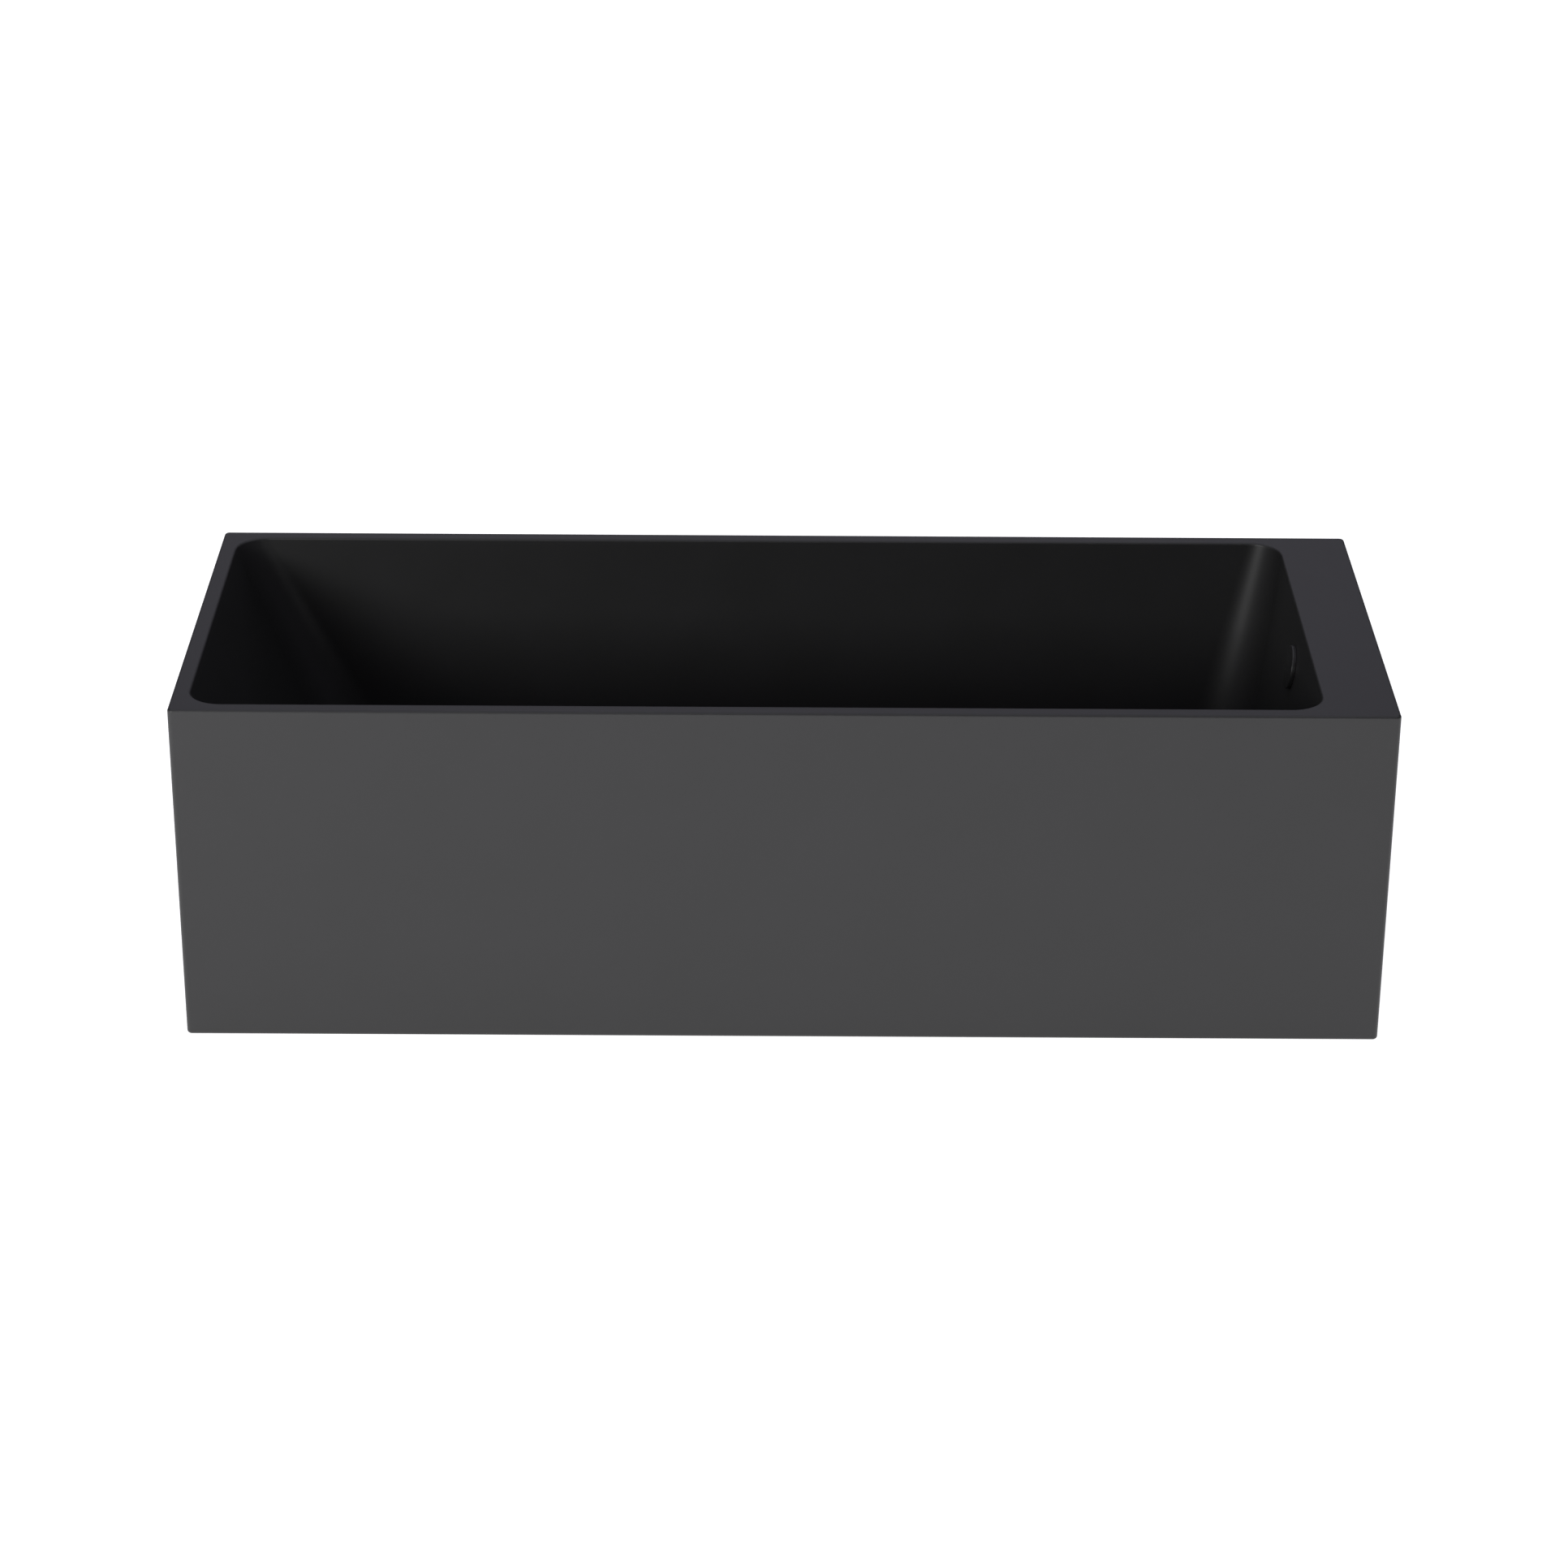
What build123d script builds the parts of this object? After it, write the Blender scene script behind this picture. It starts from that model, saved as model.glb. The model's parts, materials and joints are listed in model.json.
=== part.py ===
from build123d import *
import math
import os

# A freestanding rectangular double-skin acrylic bathtub with its waste, overflow, frame and
# feet. Millimetres, +Z up. The origin is on the floor under the middle of the tub, +X runs
# along its length to the waste end, and -Y is the front.

# Overall size
LENGTH = 1800.0
WIDTH = 700.0
HEIGHT = 540.0
SKIRT_GAP = 3.0

# Rim and cavity
RIM = 25.0
DECK = 108.0
RIM_EDGE_RADIUS = 4.0
CAVITY_EDGE_RADIUS = 3.5
OUTER_CORNER_RADIUS = 8.0
CAVITY_DEPTH = 400.0
CAVITY_CORNER = 50.0
CORNER_GROWTH = 0.12
BACKREST_SLOPE = 0.43
FOOT_END_SLOPE = 0.13
SIDE_SLOPE = 0.09
FLOOR_RADIUS = 85.0
FLOOR_FALL = 0.006

# Skins
ACRYLIC = 5.0
LAMINATE = 3.0
SKIRT_WALL = 5.0
SKIRT_FLANGE = 12.0
SKIRT_FOOT_RADIUS = 5.0

# Boards and battens
BATTEN_WIDTH = 11.0
BATTEN_HEIGHT = 22.0
DECK_BOARD = 15.0
BOARD_LEFT = -630.0
BOARD_RIGHT = 655.0
BOARD_HALF_WIDTH = 205.0
BOARD_CUTOUT = 62.0

# Steel frame
TUBE = 25.0
TUBE_WALL = 2.0
FRAME_TOP = 117.0
FOOT_RAILS = {"left": -800.0, "middle": 20.0, "right": 845.0}
PLAIN_RAILS = {"backrest": -400.0, "trap": 300.0}
SCREW_Y = 150.0
SCREW_RADIUS = 2.0
SCREW_HEAD_RADIUS = 4.5
SCREW_HEAD = 2.5
SCREW_GRIP = 10.0

# Levelling feet
FOOT_Y = 285.0
STUD_RADIUS = 5.0
STUD_TOP = 110.0
NUT_BORE = 5.6
RAIL_HOLE = 6.5
NUT_FLATS = 17.0
WELD_NUT = 8.0
LOCK_NUT = 6.0
PAD_RADIUS = 20.0
PAD_HEIGHT = 12.0
PAD_SOLE = 4.0

# Waste
DRAIN_X = 560.0
DRAIN_RECESS = 2.0
RECESS_RADIUS = 40.0
DRAIN_PAD_RADIUS = 46.0
DRAIN_PAD_DROP = 2.0
WASTE_HOLE = 24.5
GASKET = 1.0
FLANGE_RADIUS = 36.0
FLANGE = 2.5
TAIL_RADIUS = 24.0
TAIL_BORE = 20.5
TAIL_LENGTH = 27.0
BRIDGE_DROP = 20.0
BRIDGE = 6.0
CARTRIDGE_RADIUS = 7.0
CARTRIDGE_LENGTH = 40.0
STEM_RADIUS = 4.0
STEM_CLEARANCE = 0.05
LOWER_GASKET = 4.0
BODY_FLANGE_RADIUS = 38.0
BODY_FLANGE = 4.0
BODY_RADIUS = 28.5
BODY_FLOOR = 4.0
BODY_BOTTOM = 84.0
SPIGOT_RADIUS = 20.0
SPIGOT_BORE = 17.5
SPIGOT_BOTTOM = 68.0
HOSE_PORT_Z = 100.0
HOSE_PORT_REACH = 52.0

# Plug
PLUG_GAP = 0.2
SEAL = 1.5
SEAL_RADIUS = 25.0
CAP_RADIUS = 32.0
CAP = 5.0

# Overflow
OVERFLOW_DROP = 75.0
OVERFLOW_HOLE = 20.0
OVERFLOW_BORE = 17.0
OVERFLOW_GASKET = 0.8
OVERFLOW_FLANGE = 2.2
OVERFLOW_RADIUS = 34.0
OVERFLOW_WALL = 3.0
OVERFLOW_STAND = 10.0
OVERFLOW_TAIL = 30.0
BACK_SEAL = 3.0
BACK_GAP = 0.1
ELBOW_RADIUS = 25.0
ELBOW_DEPTH = 26.0
ELBOW_AXIS = 25.0
ELBOW_BOTTOM = 420.0

# Overflow hose and its nuts
HOSE_RADIUS = 12.5
HOSE_BORE = 10.5
PORT_BORE = 8.5
HOSE_BEND = 60.0
HOSE_TOP_GAP = 6.0
HOSE_NUT_RADIUS = 17.0
HOSE_NUT = 18.0

# Trap and outlet
TRAP_BEND = 26.0
TRAP_BEND_Z = 51.0
TRAP_RUN = 32.0
TRAP_DROP = 6.0
SOCKET_RADIUS = 24.0
SOCKET_BORE = 19.7
SOCKET = 14.0
UNION_RADIUS = 30.0
UNION = 18.0
OUTLET_BOTTOM = 6.0

FLOOR_Z = HEIGHT - CAVITY_DEPTH
HALF_LENGTH = LENGTH / 2
HALF_WIDTH = WIDTH / 2
RIM_UNDERSIDE = HEIGHT - ACRYLIC
SHELL = ACRYLIC + LAMINATE
RECESS_Z = FLOOR_Z - DRAIN_RECESS
PAD_Z = FLOOR_Z - SHELL - DRAIN_PAD_DROP
FLANGE_TOP = RECESS_Z + GASKET + FLANGE
RAIL_BOTTOM = FRAME_TOP - TUBE
BODY_TOP = PAD_Z - LOWER_GASKET
OVERFLOW_X = HALF_LENGTH - DECK - FOOT_END_SLOPE * OVERFLOW_DROP
OUTLET_X = DRAIN_X - 4 * TRAP_BEND - TRAP_RUN
TRAP_END_Z = TRAP_BEND_Z - TRAP_DROP


def save(node, shape):
    shape.label = node
    export_step(shape, f"parts/{node}.step")


def disc(radius, bottom, top, x=DRAIN_X, y=0.0):
    """A vertical cylinder between two heights."""
    place = Pos(x, y, (bottom + top) / 2)
    return place * Cylinder(radius, top - bottom)


def ring(outer, inner, bottom, top, x=DRAIN_X, y=0.0):
    return disc(outer, bottom, top, x, y) - disc(inner, bottom - 1, top + 1, x, y)


def block(low, high):
    """A box between two opposite corners."""
    size = [b - a for a, b in zip(low, high)]
    middle = [(a + b) / 2 for a, b in zip(low, high)]
    return Pos(*middle) * Box(*size)


def hexagon(flats, bottom, top, x, y):
    outline = RegularPolygon(flats / 2, 6, major_radius=False)
    return Pos(x, y, bottom) * extrude(outline, top - bottom)


# --- skins -----------------------------------------------------------------------------

def cavity_section(depth, grow, tilted=False):
    """The bathing space's outline at a depth below the rim, grown outwards all round."""
    left = -HALF_LENGTH + RIM + BACKREST_SLOPE * depth - grow
    right = HALF_LENGTH - DECK - FOOT_END_SLOPE * depth + grow
    half_width = HALF_WIDTH - RIM - SIDE_SLOPE * depth + grow
    radius = CAVITY_CORNER + CORNER_GROWTH * depth + grow
    middle = (left + right) / 2
    rise = FLOOR_FALL * (DRAIN_X - middle) if tilted else 0.0
    fall = FLOOR_FALL if tilted else 0.0
    plane = Plane(
        origin=(middle, 0, HEIGHT - depth + rise),
        x_dir=(1, 0, -fall),
        z_dir=(fall, 0, 1),
    )
    return plane * RectangleRounded(right - left, 2 * half_width, radius)


def cavity(grow, start):
    """The bathing space as a solid, grown by grow, from start below the rim to its floor."""
    top = cavity_section(start, grow)
    bottom = cavity_section(CAVITY_DEPTH + grow, grow, tilted=True)
    body = loft([top, bottom], ruled=True)
    floor_edges = body.faces().sort_by(Axis.Z)[0].edges()
    return fillet(floor_edges, FLOOR_RADIUS + grow)


def rim_plate():
    outline = RectangleRounded(LENGTH, WIDTH, OUTER_CORNER_RADIUS)
    plate = Pos(0, 0, RIM_UNDERSIDE) * extrude(outline, ACRYLIC)
    return fillet(plate.faces().sort_by(Axis.Z)[-1].edges(), RIM_EDGE_RADIUS)


def overflow_plane():
    """The foot-end wall at the overflow: +Z points into the bathing space."""
    return Plane(
        origin=(OVERFLOW_X, 0, HEIGHT - OVERFLOW_DROP),
        x_dir=(0, 1, 0),
        z_dir=(-1, 0, FOOT_END_SLOPE),
    )


def on_wall(radius, low, high):
    """A cylinder square to the foot-end wall, between two heights above it."""
    return overflow_plane() * (Pos(0, 0, (low + high) / 2) * Cylinder(radius, high - low))


def wall_hole():
    return on_wall(OVERFLOW_HOLE, -2 * SHELL, 2 * SHELL)


def basin_shell():
    body = rim_plate() + cavity(ACRYLIC, ACRYLIC)
    body -= cavity(0.0, -1.0)
    mouth = body.edges().filter_by_position(Axis.Z, HEIGHT - 0.01, HEIGHT + 0.01)
    inner = HALF_LENGTH - 2 * RIM_EDGE_RADIUS
    mouth = [
        edge
        for edge in mouth
        if abs(edge.center().Y) < HALF_WIDTH - 2 * RIM_EDGE_RADIUS
        and abs(edge.center().X) < inner
    ]
    body = fillet(mouth, CAVITY_EDGE_RADIUS)
    body -= disc(RECESS_RADIUS, RECESS_Z, FLOOR_Z + 5)
    body -= disc(WASTE_HOLE, PAD_Z - 5, FLOOR_Z + 5)
    return body - wall_hole()


def basin_laminate():
    body = cavity(SHELL, ACRYLIC) - cavity(ACRYLIC, ACRYLIC)
    body += ring(DRAIN_PAD_RADIUS, WASTE_HOLE, PAD_Z, FLOOR_Z - ACRYLIC - 1)
    body -= disc(WASTE_HOLE, PAD_Z - 5, FLOOR_Z + 5)
    return body - wall_hole()


def outer_shell():
    wall_height = RIM_UNDERSIDE - SKIRT_GAP
    outline = RectangleRounded(LENGTH, WIDTH, OUTER_CORNER_RADIUS)
    skirt = Pos(0, 0, SKIRT_GAP) * extrude(outline, wall_height)
    skirt = fillet(skirt.faces().sort_by(Axis.Z)[0].edges(), SKIRT_FOOT_RADIUS)
    inner = RectangleRounded(
        LENGTH - 2 * SKIRT_WALL,
        WIDTH - 2 * SKIRT_WALL,
        OUTER_CORNER_RADIUS - SKIRT_WALL,
    )
    skirt -= Pos(0, 0, SKIRT_GAP + SKIRT_WALL) * extrude(inner, wall_height)
    inset = 2 * (SKIRT_WALL + SKIRT_FLANGE)
    mouth = RectangleRounded(LENGTH - inset, WIDTH - inset, OUTER_CORNER_RADIUS)
    return skirt - extrude(mouth, 4 * SKIRT_WALL)


# --- boards ----------------------------------------------------------------------------

def side_batten(side):
    outer = HALF_WIDTH - SKIRT_WALL
    inner = outer - BATTEN_WIDTH
    low_y, high_y = sorted((side * inner, side * outer))
    left = -HALF_LENGTH + SKIRT_WALL + BATTEN_WIDTH
    right = HALF_LENGTH - DECK + SHELL
    return block(
        (left, low_y, RIM_UNDERSIDE - BATTEN_HEIGHT),
        (right, high_y, RIM_UNDERSIDE),
    )


def end_batten():
    outer = -HALF_LENGTH + SKIRT_WALL
    span = HALF_WIDTH - SKIRT_WALL - OUTER_CORNER_RADIUS
    return block(
        (outer, -span, RIM_UNDERSIDE - BATTEN_HEIGHT),
        (outer + BATTEN_WIDTH, span, RIM_UNDERSIDE),
    )


def deck_board():
    span = HALF_WIDTH - SKIRT_WALL - OUTER_CORNER_RADIUS
    return block(
        (HALF_LENGTH - DECK + SHELL, -span, RIM_UNDERSIDE - DECK_BOARD),
        (HALF_LENGTH - SKIRT_WALL, span, RIM_UNDERSIDE),
    )


def floor_board():
    """The board under the basin, its top planed to the fall of the basin's floor."""
    board = block(
        (BOARD_LEFT, -BOARD_HALF_WIDTH, FRAME_TOP),
        (BOARD_RIGHT, BOARD_HALF_WIDTH, FLOOR_Z + 5),
    )
    board -= cavity(SHELL, CAVITY_DEPTH / 2)
    return board - disc(BOARD_CUTOUT, FRAME_TOP - 5, FLOOR_Z + 10)


# --- frame -----------------------------------------------------------------------------

def square_tube(length):
    """A square tube along X, centred on the origin."""
    outside = Box(length, TUBE, TUBE)
    inside = Box(length + 2, TUBE - 2 * TUBE_WALL, TUBE - 2 * TUBE_WALL)
    return fillet(outside.edges().filter_by(Axis.X), TUBE_WALL) - inside


def long_rail(side):
    length = LENGTH - 2 * (SKIRT_WALL + SKIRT_FLANGE)
    centre_y = side * (HALF_WIDTH - SKIRT_WALL - TUBE / 2)
    return Pos(0, centre_y, FRAME_TOP - TUBE / 2) * square_tube(length)


def cross_rail(x, has_feet):
    span = WIDTH - 2 * (SKIRT_WALL + TUBE)
    rail = Pos(x, 0, FRAME_TOP - TUBE / 2) * (Rot(0, 0, 90) * square_tube(span))
    for side in (-1, 1):
        if has_feet:
            rail -= disc(RAIL_HOLE, RAIL_BOTTOM - 1, RAIL_BOTTOM + TUBE / 2, x, side * FOOT_Y)
    return rail


def board_screws():
    """Screws up through the cross rails' floors into the board."""
    screws = []
    for x in (PLAIN_RAILS["backrest"], FOOT_RAILS["middle"], PLAIN_RAILS["trap"]):
        for side in (-1, 1):
            y = side * SCREW_Y
            head = disc(SCREW_HEAD_RADIUS, RAIL_BOTTOM - SCREW_HEAD, RAIL_BOTTOM, x, y)
            head = fillet(head.faces().sort_by(Axis.Z)[0].edges(), SCREW_HEAD / 2)
            shank = disc(SCREW_RADIUS, RAIL_BOTTOM, FRAME_TOP + SCREW_GRIP, x, y)
            screws.append(head + shank)
    return screws


def screw_clearance(shape):
    """The shape with the board screws' holes."""
    for x in (PLAIN_RAILS["backrest"], FOOT_RAILS["middle"], PLAIN_RAILS["trap"]):
        for side in (-1, 1):
            top = FRAME_TOP + SCREW_GRIP
            shape -= disc(SCREW_RADIUS, RAIL_BOTTOM - 1, top, x, side * SCREW_Y)
    return shape


# --- feet ------------------------------------------------------------------------------

def foot_stud(x, y):
    stud = disc(STUD_RADIUS, PAD_SOLE, STUD_TOP, x, y)
    return chamfer(stud.edges(), 0.8)


def foot_pad(x, y):
    pad = disc(PAD_RADIUS, 0, PAD_HEIGHT, x, y)
    pad = fillet(pad.faces().sort_by(Axis.Z)[-1].edges(), 3.0)
    pad = chamfer(pad.faces().sort_by(Axis.Z)[0].edges(), 1.0)
    collar = disc(STUD_RADIUS + 4, PAD_HEIGHT, PAD_HEIGHT + 8, x, y)
    return pad + collar - disc(STUD_RADIUS, PAD_SOLE, PAD_HEIGHT + 9, x, y)


def foot_nuts(top, height):
    """One nut round each stud, just under the given height."""
    nuts = []
    for x in FOOT_RAILS.values():
        for y in (-FOOT_Y, FOOT_Y):
            nut = hexagon(NUT_FLATS, top - height, top, x, y)
            nuts.append(nut - disc(NUT_BORE, top - height - 1, top + 1, x, y))
    return nuts


# --- waste -----------------------------------------------------------------------------

def waste_flange():
    bottom = RECESS_Z + GASKET
    rim = disc(FLANGE_RADIUS, bottom, FLANGE_TOP)
    rim = fillet(rim.faces().sort_by(Axis.Z)[-1].edges(), FLANGE / 2)
    tail_bottom = bottom - TAIL_LENGTH
    body = rim + disc(TAIL_RADIUS, tail_bottom, bottom)
    body -= disc(TAIL_BORE, tail_bottom - 1, FLANGE_TOP + 1)
    bridge_top = FLANGE_TOP - BRIDGE_DROP + BRIDGE
    bridge_bottom = bridge_top - BRIDGE
    body += disc(CARTRIDGE_RADIUS + 3, bridge_bottom, bridge_top)
    for turn in (0, 120, 240):
        spoke = Pos(TAIL_RADIUS / 2, 0, 0) * Box(TAIL_RADIUS - 1, 3, BRIDGE)
        spoke = Rot(0, 0, turn) * spoke
        body += Pos(DRAIN_X, 0, (bridge_top + bridge_bottom) / 2) * spoke
    return body - disc(CARTRIDGE_RADIUS, bridge_bottom - 1, bridge_top + 1)


def waste_body():
    """The cup under the floor: clamped by the flange's tail, with the overflow's port."""
    body = disc(BODY_FLANGE_RADIUS, BODY_TOP - BODY_FLANGE, BODY_TOP)
    body += disc(BODY_RADIUS, BODY_BOTTOM, BODY_TOP)
    body += disc(SPIGOT_RADIUS, SPIGOT_BOTTOM, BODY_BOTTOM)
    port = Rot(0, 90, 0) * Cylinder(HOSE_BORE, HOSE_PORT_REACH)
    body += Pos(DRAIN_X + HOSE_PORT_REACH / 2, 0, HOSE_PORT_Z) * port
    body -= disc(TAIL_RADIUS, BODY_BOTTOM + BODY_FLOOR, BODY_TOP + 1)
    body -= disc(SPIGOT_BORE, SPIGOT_BOTTOM - 1, BODY_BOTTOM + BODY_FLOOR + 1)
    bore = Rot(0, 90, 0) * Cylinder(PORT_BORE, HOSE_PORT_REACH + 2)
    return body - Pos(DRAIN_X + HOSE_PORT_REACH / 2 + 1, 0, HOSE_PORT_Z) * bore


def cartridge():
    top = FLANGE_TOP - 2
    bore = STEM_RADIUS + STEM_CLEARANCE
    return ring(CARTRIDGE_RADIUS, bore, top - CARTRIDGE_LENGTH, top)


def plug_cap():
    bottom = FLANGE_TOP + PLUG_GAP + SEAL
    cap = disc(CAP_RADIUS, bottom, bottom + CAP)
    cap = fillet(cap.faces().sort_by(Axis.Z)[-1].edges(), CAP / 2)
    return chamfer(cap.faces().sort_by(Axis.Z)[0].edges(), 0.8)


def plug_seal():
    bottom = FLANGE_TOP + PLUG_GAP
    return ring(SEAL_RADIUS, STEM_RADIUS + 4, bottom, bottom + SEAL)


def plug_stem():
    top = FLANGE_TOP + PLUG_GAP + SEAL
    return disc(STEM_RADIUS, top - CARTRIDGE_LENGTH, top)


# --- overflow --------------------------------------------------------------------------

def overflow_cover():
    """A shallow cup on the wall, with the water's slot cut along its lower edge."""
    base = OVERFLOW_GASKET + OVERFLOW_FLANGE
    top = base + OVERFLOW_STAND
    cup = Pos(0, 0, (base + top) / 2) * Cylinder(OVERFLOW_RADIUS, OVERFLOW_STAND)
    cup = fillet(cup.faces().sort_by(Axis.Z)[-1].edges(), 2.5)
    hollow_top = top - OVERFLOW_WALL
    hollow = Cylinder(OVERFLOW_RADIUS - OVERFLOW_WALL, hollow_top - base + 1)
    cup -= Pos(0, 0, (base + hollow_top - 1) / 2) * hollow
    slot_height = hollow_top - base - 1
    slot = Box(OVERFLOW_RADIUS * 1.2, OVERFLOW_RADIUS, slot_height)
    cup -= Pos(0, OVERFLOW_RADIUS, base + slot_height / 2) * slot
    return overflow_plane() * cup


def overflow_body():
    base = OVERFLOW_GASKET
    body = on_wall(OVERFLOW_RADIUS, base, base + OVERFLOW_FLANGE)
    body += on_wall(OVERFLOW_HOLE, base - OVERFLOW_TAIL, base + OVERFLOW_FLANGE)
    return body - on_wall(OVERFLOW_BORE, -2 * OVERFLOW_TAIL, OVERFLOW_TAIL)


def overflow_gasket():
    return on_wall(OVERFLOW_RADIUS - 2, 0, OVERFLOW_GASKET) - wall_hole()


def wall_back():
    """How far behind the wall's face the back seal starts, square to the wall."""
    return SHELL * math.cos(math.atan(FOOT_END_SLOPE)) + BACK_GAP


def overflow_back_seal():
    back = -wall_back()
    return on_wall(OVERFLOW_HOLE + 9, back - BACK_SEAL, back) - wall_hole()


def overflow_elbow():
    """The housing behind the wall that turns the overflow down into its hose."""
    front = -wall_back() - BACK_SEAL
    rear = front - ELBOW_DEPTH
    body = on_wall(OVERFLOW_HOLE + 9, front - 3, front) + on_wall(ELBOW_RADIUS, rear, front)
    x = OVERFLOW_X + ELBOW_AXIS
    middle = HEIGHT - OVERFLOW_DROP
    body += disc(HOSE_BORE, ELBOW_BOTTOM, middle, x)
    body -= on_wall(OVERFLOW_HOLE, rear + 4, front + 1)
    return body - disc(PORT_BORE, ELBOW_BOTTOM - 1, middle, x)


def tube_along(path, outer, inner):
    start = Plane(origin=path @ 0, z_dir=path % 0)
    outside = sweep(start * Circle(outer), path=path)
    return outside - sweep(start * Circle(inner), path=path)


def overflow_hose():
    x = OVERFLOW_X + ELBOW_AXIS
    end = DRAIN_X + BODY_RADIUS + 3
    start_z = HEIGHT - OVERFLOW_DROP - ELBOW_RADIUS - HOSE_TOP_GAP
    path = FilletPolyline(
        (x, 0, start_z),
        (x, 0, HOSE_PORT_Z),
        (end, 0, HOSE_PORT_Z),
        radius=HOSE_BEND,
    )
    return tube_along(path, HOSE_RADIUS, HOSE_BORE)


def hose_nut(place):
    """A ribbed clamping nut round the hose, its axis along the placed Z."""
    nut = Cylinder(HOSE_NUT_RADIUS, HOSE_NUT)
    for step in range(12):
        groove = Pos(HOSE_NUT_RADIUS + 0.8, 0, 0) * Cylinder(2.0, HOSE_NUT + 2)
        nut -= Rot(0, 0, 30 * step) * groove
    return place * (nut - Cylinder(HOSE_RADIUS, HOSE_NUT + 2))


# --- trap ------------------------------------------------------------------------------

def trap_path():
    """Down from the waste, up over the water seal, across, and down to the outlet."""
    slant = TRAP_BEND * math.sqrt(0.5)
    far_x = DRAIN_X - 2 * TRAP_BEND
    knee_x = far_x - TRAP_BEND
    run_x = knee_x - TRAP_RUN
    run_z = TRAP_BEND_Z + TRAP_BEND
    bottom = (DRAIN_X - TRAP_BEND, 0, TRAP_BEND_Z - TRAP_BEND)
    knee = (knee_x + slant, 0, TRAP_BEND_Z + slant)
    drop = (run_x - slant, 0, TRAP_BEND_Z + slant)
    return Wire([
        Line((DRAIN_X, 0, SPIGOT_BOTTOM), (DRAIN_X, 0, TRAP_BEND_Z)),
        ThreePointArc((DRAIN_X, 0, TRAP_BEND_Z), bottom, (far_x, 0, TRAP_BEND_Z)),
        ThreePointArc((far_x, 0, TRAP_BEND_Z), knee, (knee_x, 0, run_z)),
        Line((knee_x, 0, run_z), (run_x, 0, run_z)),
        ThreePointArc((run_x, 0, run_z), drop, (OUTLET_X, 0, TRAP_BEND_Z)),
        Line((OUTLET_X, 0, TRAP_BEND_Z), (OUTLET_X, 0, TRAP_END_Z)),
    ])


def trap_body():
    body = tube_along(trap_path(), SPIGOT_RADIUS, SPIGOT_BORE)
    body += ring(SOCKET_RADIUS, SPIGOT_RADIUS, SPIGOT_BOTTOM - 6, SPIGOT_BOTTOM + 8)
    socket_bottom = TRAP_END_Z - SOCKET
    return body + ring(SOCKET_RADIUS, SOCKET_BORE, socket_bottom, TRAP_BEND_Z, OUTLET_X)


def union_nut(x, z):
    """A nut with finger grooves round a socket, centred at a height."""
    nut = Cylinder(UNION_RADIUS, UNION) - Cylinder(SOCKET_RADIUS, UNION + 2)
    for step in range(16):
        groove = Pos(UNION_RADIUS + 1.2, 0, 0) * Cylinder(3.0, UNION + 2)
        nut -= Rot(0, 0, 22.5 * step) * groove
    return Pos(x, 0, z) * nut


def outlet_pipe():
    mouth = TRAP_END_Z - SOCKET
    pipe = ring(SPIGOT_RADIUS, SPIGOT_BORE, OUTLET_BOTTOM, mouth, OUTLET_X)
    return pipe + ring(SOCKET_BORE, SPIGOT_BORE, mouth, TRAP_END_Z, OUTLET_X)


# --- all the nodes ---------------------------------------------------------------------

def build_tub():
    save("basin_shell", basin_shell())
    save("basin_laminate", basin_laminate())
    save("outer_shell", outer_shell())
    save("rim_batten_front", side_batten(-1))
    save("rim_batten_back", side_batten(1))
    save("rim_batten_left", end_batten())
    save("deck_board", deck_board())
    save("floor_board", screw_clearance(floor_board()))


def build_frame():
    save("frame_rail_front", long_rail(-1))
    save("frame_rail_back", long_rail(1))
    for name, x in FOOT_RAILS.items():
        save(f"cross_rail_{name}", screw_clearance(cross_rail(x, True)))
    for name, x in PLAIN_RAILS.items():
        save(f"cross_rail_{name}", screw_clearance(cross_rail(x, False)))
    save("board_screws", Compound(board_screws()))


def build_feet():
    for name, x in FOOT_RAILS.items():
        for side, y in (("front", -FOOT_Y), ("back", FOOT_Y)):
            save(f"foot_stud_{side}_{name}", foot_stud(x, y))
            save(f"foot_pad_{side}_{name}", foot_pad(x, y))
    save("foot_weld_nuts", Compound(foot_nuts(RAIL_BOTTOM, WELD_NUT)))
    save("foot_lock_nuts", Compound(foot_nuts(RAIL_BOTTOM - WELD_NUT, LOCK_NUT)))


def build_waste():
    save("waste_flange", waste_flange())
    save("waste_gasket_upper", ring(FLANGE_RADIUS - 1, WASTE_HOLE, RECESS_Z, RECESS_Z + GASKET))
    save("waste_gasket_lower", ring(BODY_FLANGE_RADIUS, WASTE_HOLE, BODY_TOP, PAD_Z))
    save("waste_body", waste_body())
    save("plug_cartridge", cartridge())
    save("plug_cap", plug_cap())
    save("plug_seal", plug_seal())
    save("plug_stem", plug_stem())


def build_overflow():
    save("overflow_cover", overflow_cover())
    save("overflow_body", overflow_body())
    save("overflow_gasket", overflow_gasket())
    save("overflow_back_seal", overflow_back_seal())
    save("overflow_elbow", overflow_elbow())
    save("overflow_hose", overflow_hose())
    upper = Pos(OVERFLOW_X + ELBOW_AXIS, 0, ELBOW_BOTTOM + HOSE_NUT / 2 - 5)
    lower_x = DRAIN_X + BODY_RADIUS + 4 + HOSE_NUT / 2
    save("hose_nut_upper", hose_nut(upper))
    save("hose_nut_lower", hose_nut(Pos(lower_x, 0, HOSE_PORT_Z) * Rot(0, 90, 0)))


def build_trap():
    save("trap_body", trap_body())
    save("trap_inlet_nut", union_nut(DRAIN_X, SPIGOT_BOTTOM + 2))
    save("trap_outlet_nut", union_nut(OUTLET_X, TRAP_END_Z - SOCKET + UNION / 2))
    save("outlet_pipe", outlet_pipe())


os.makedirs("parts", exist_ok=True)
build_tub()
build_frame()
build_feet()
build_waste()
build_overflow()
build_trap()
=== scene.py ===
import json
import math

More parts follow.
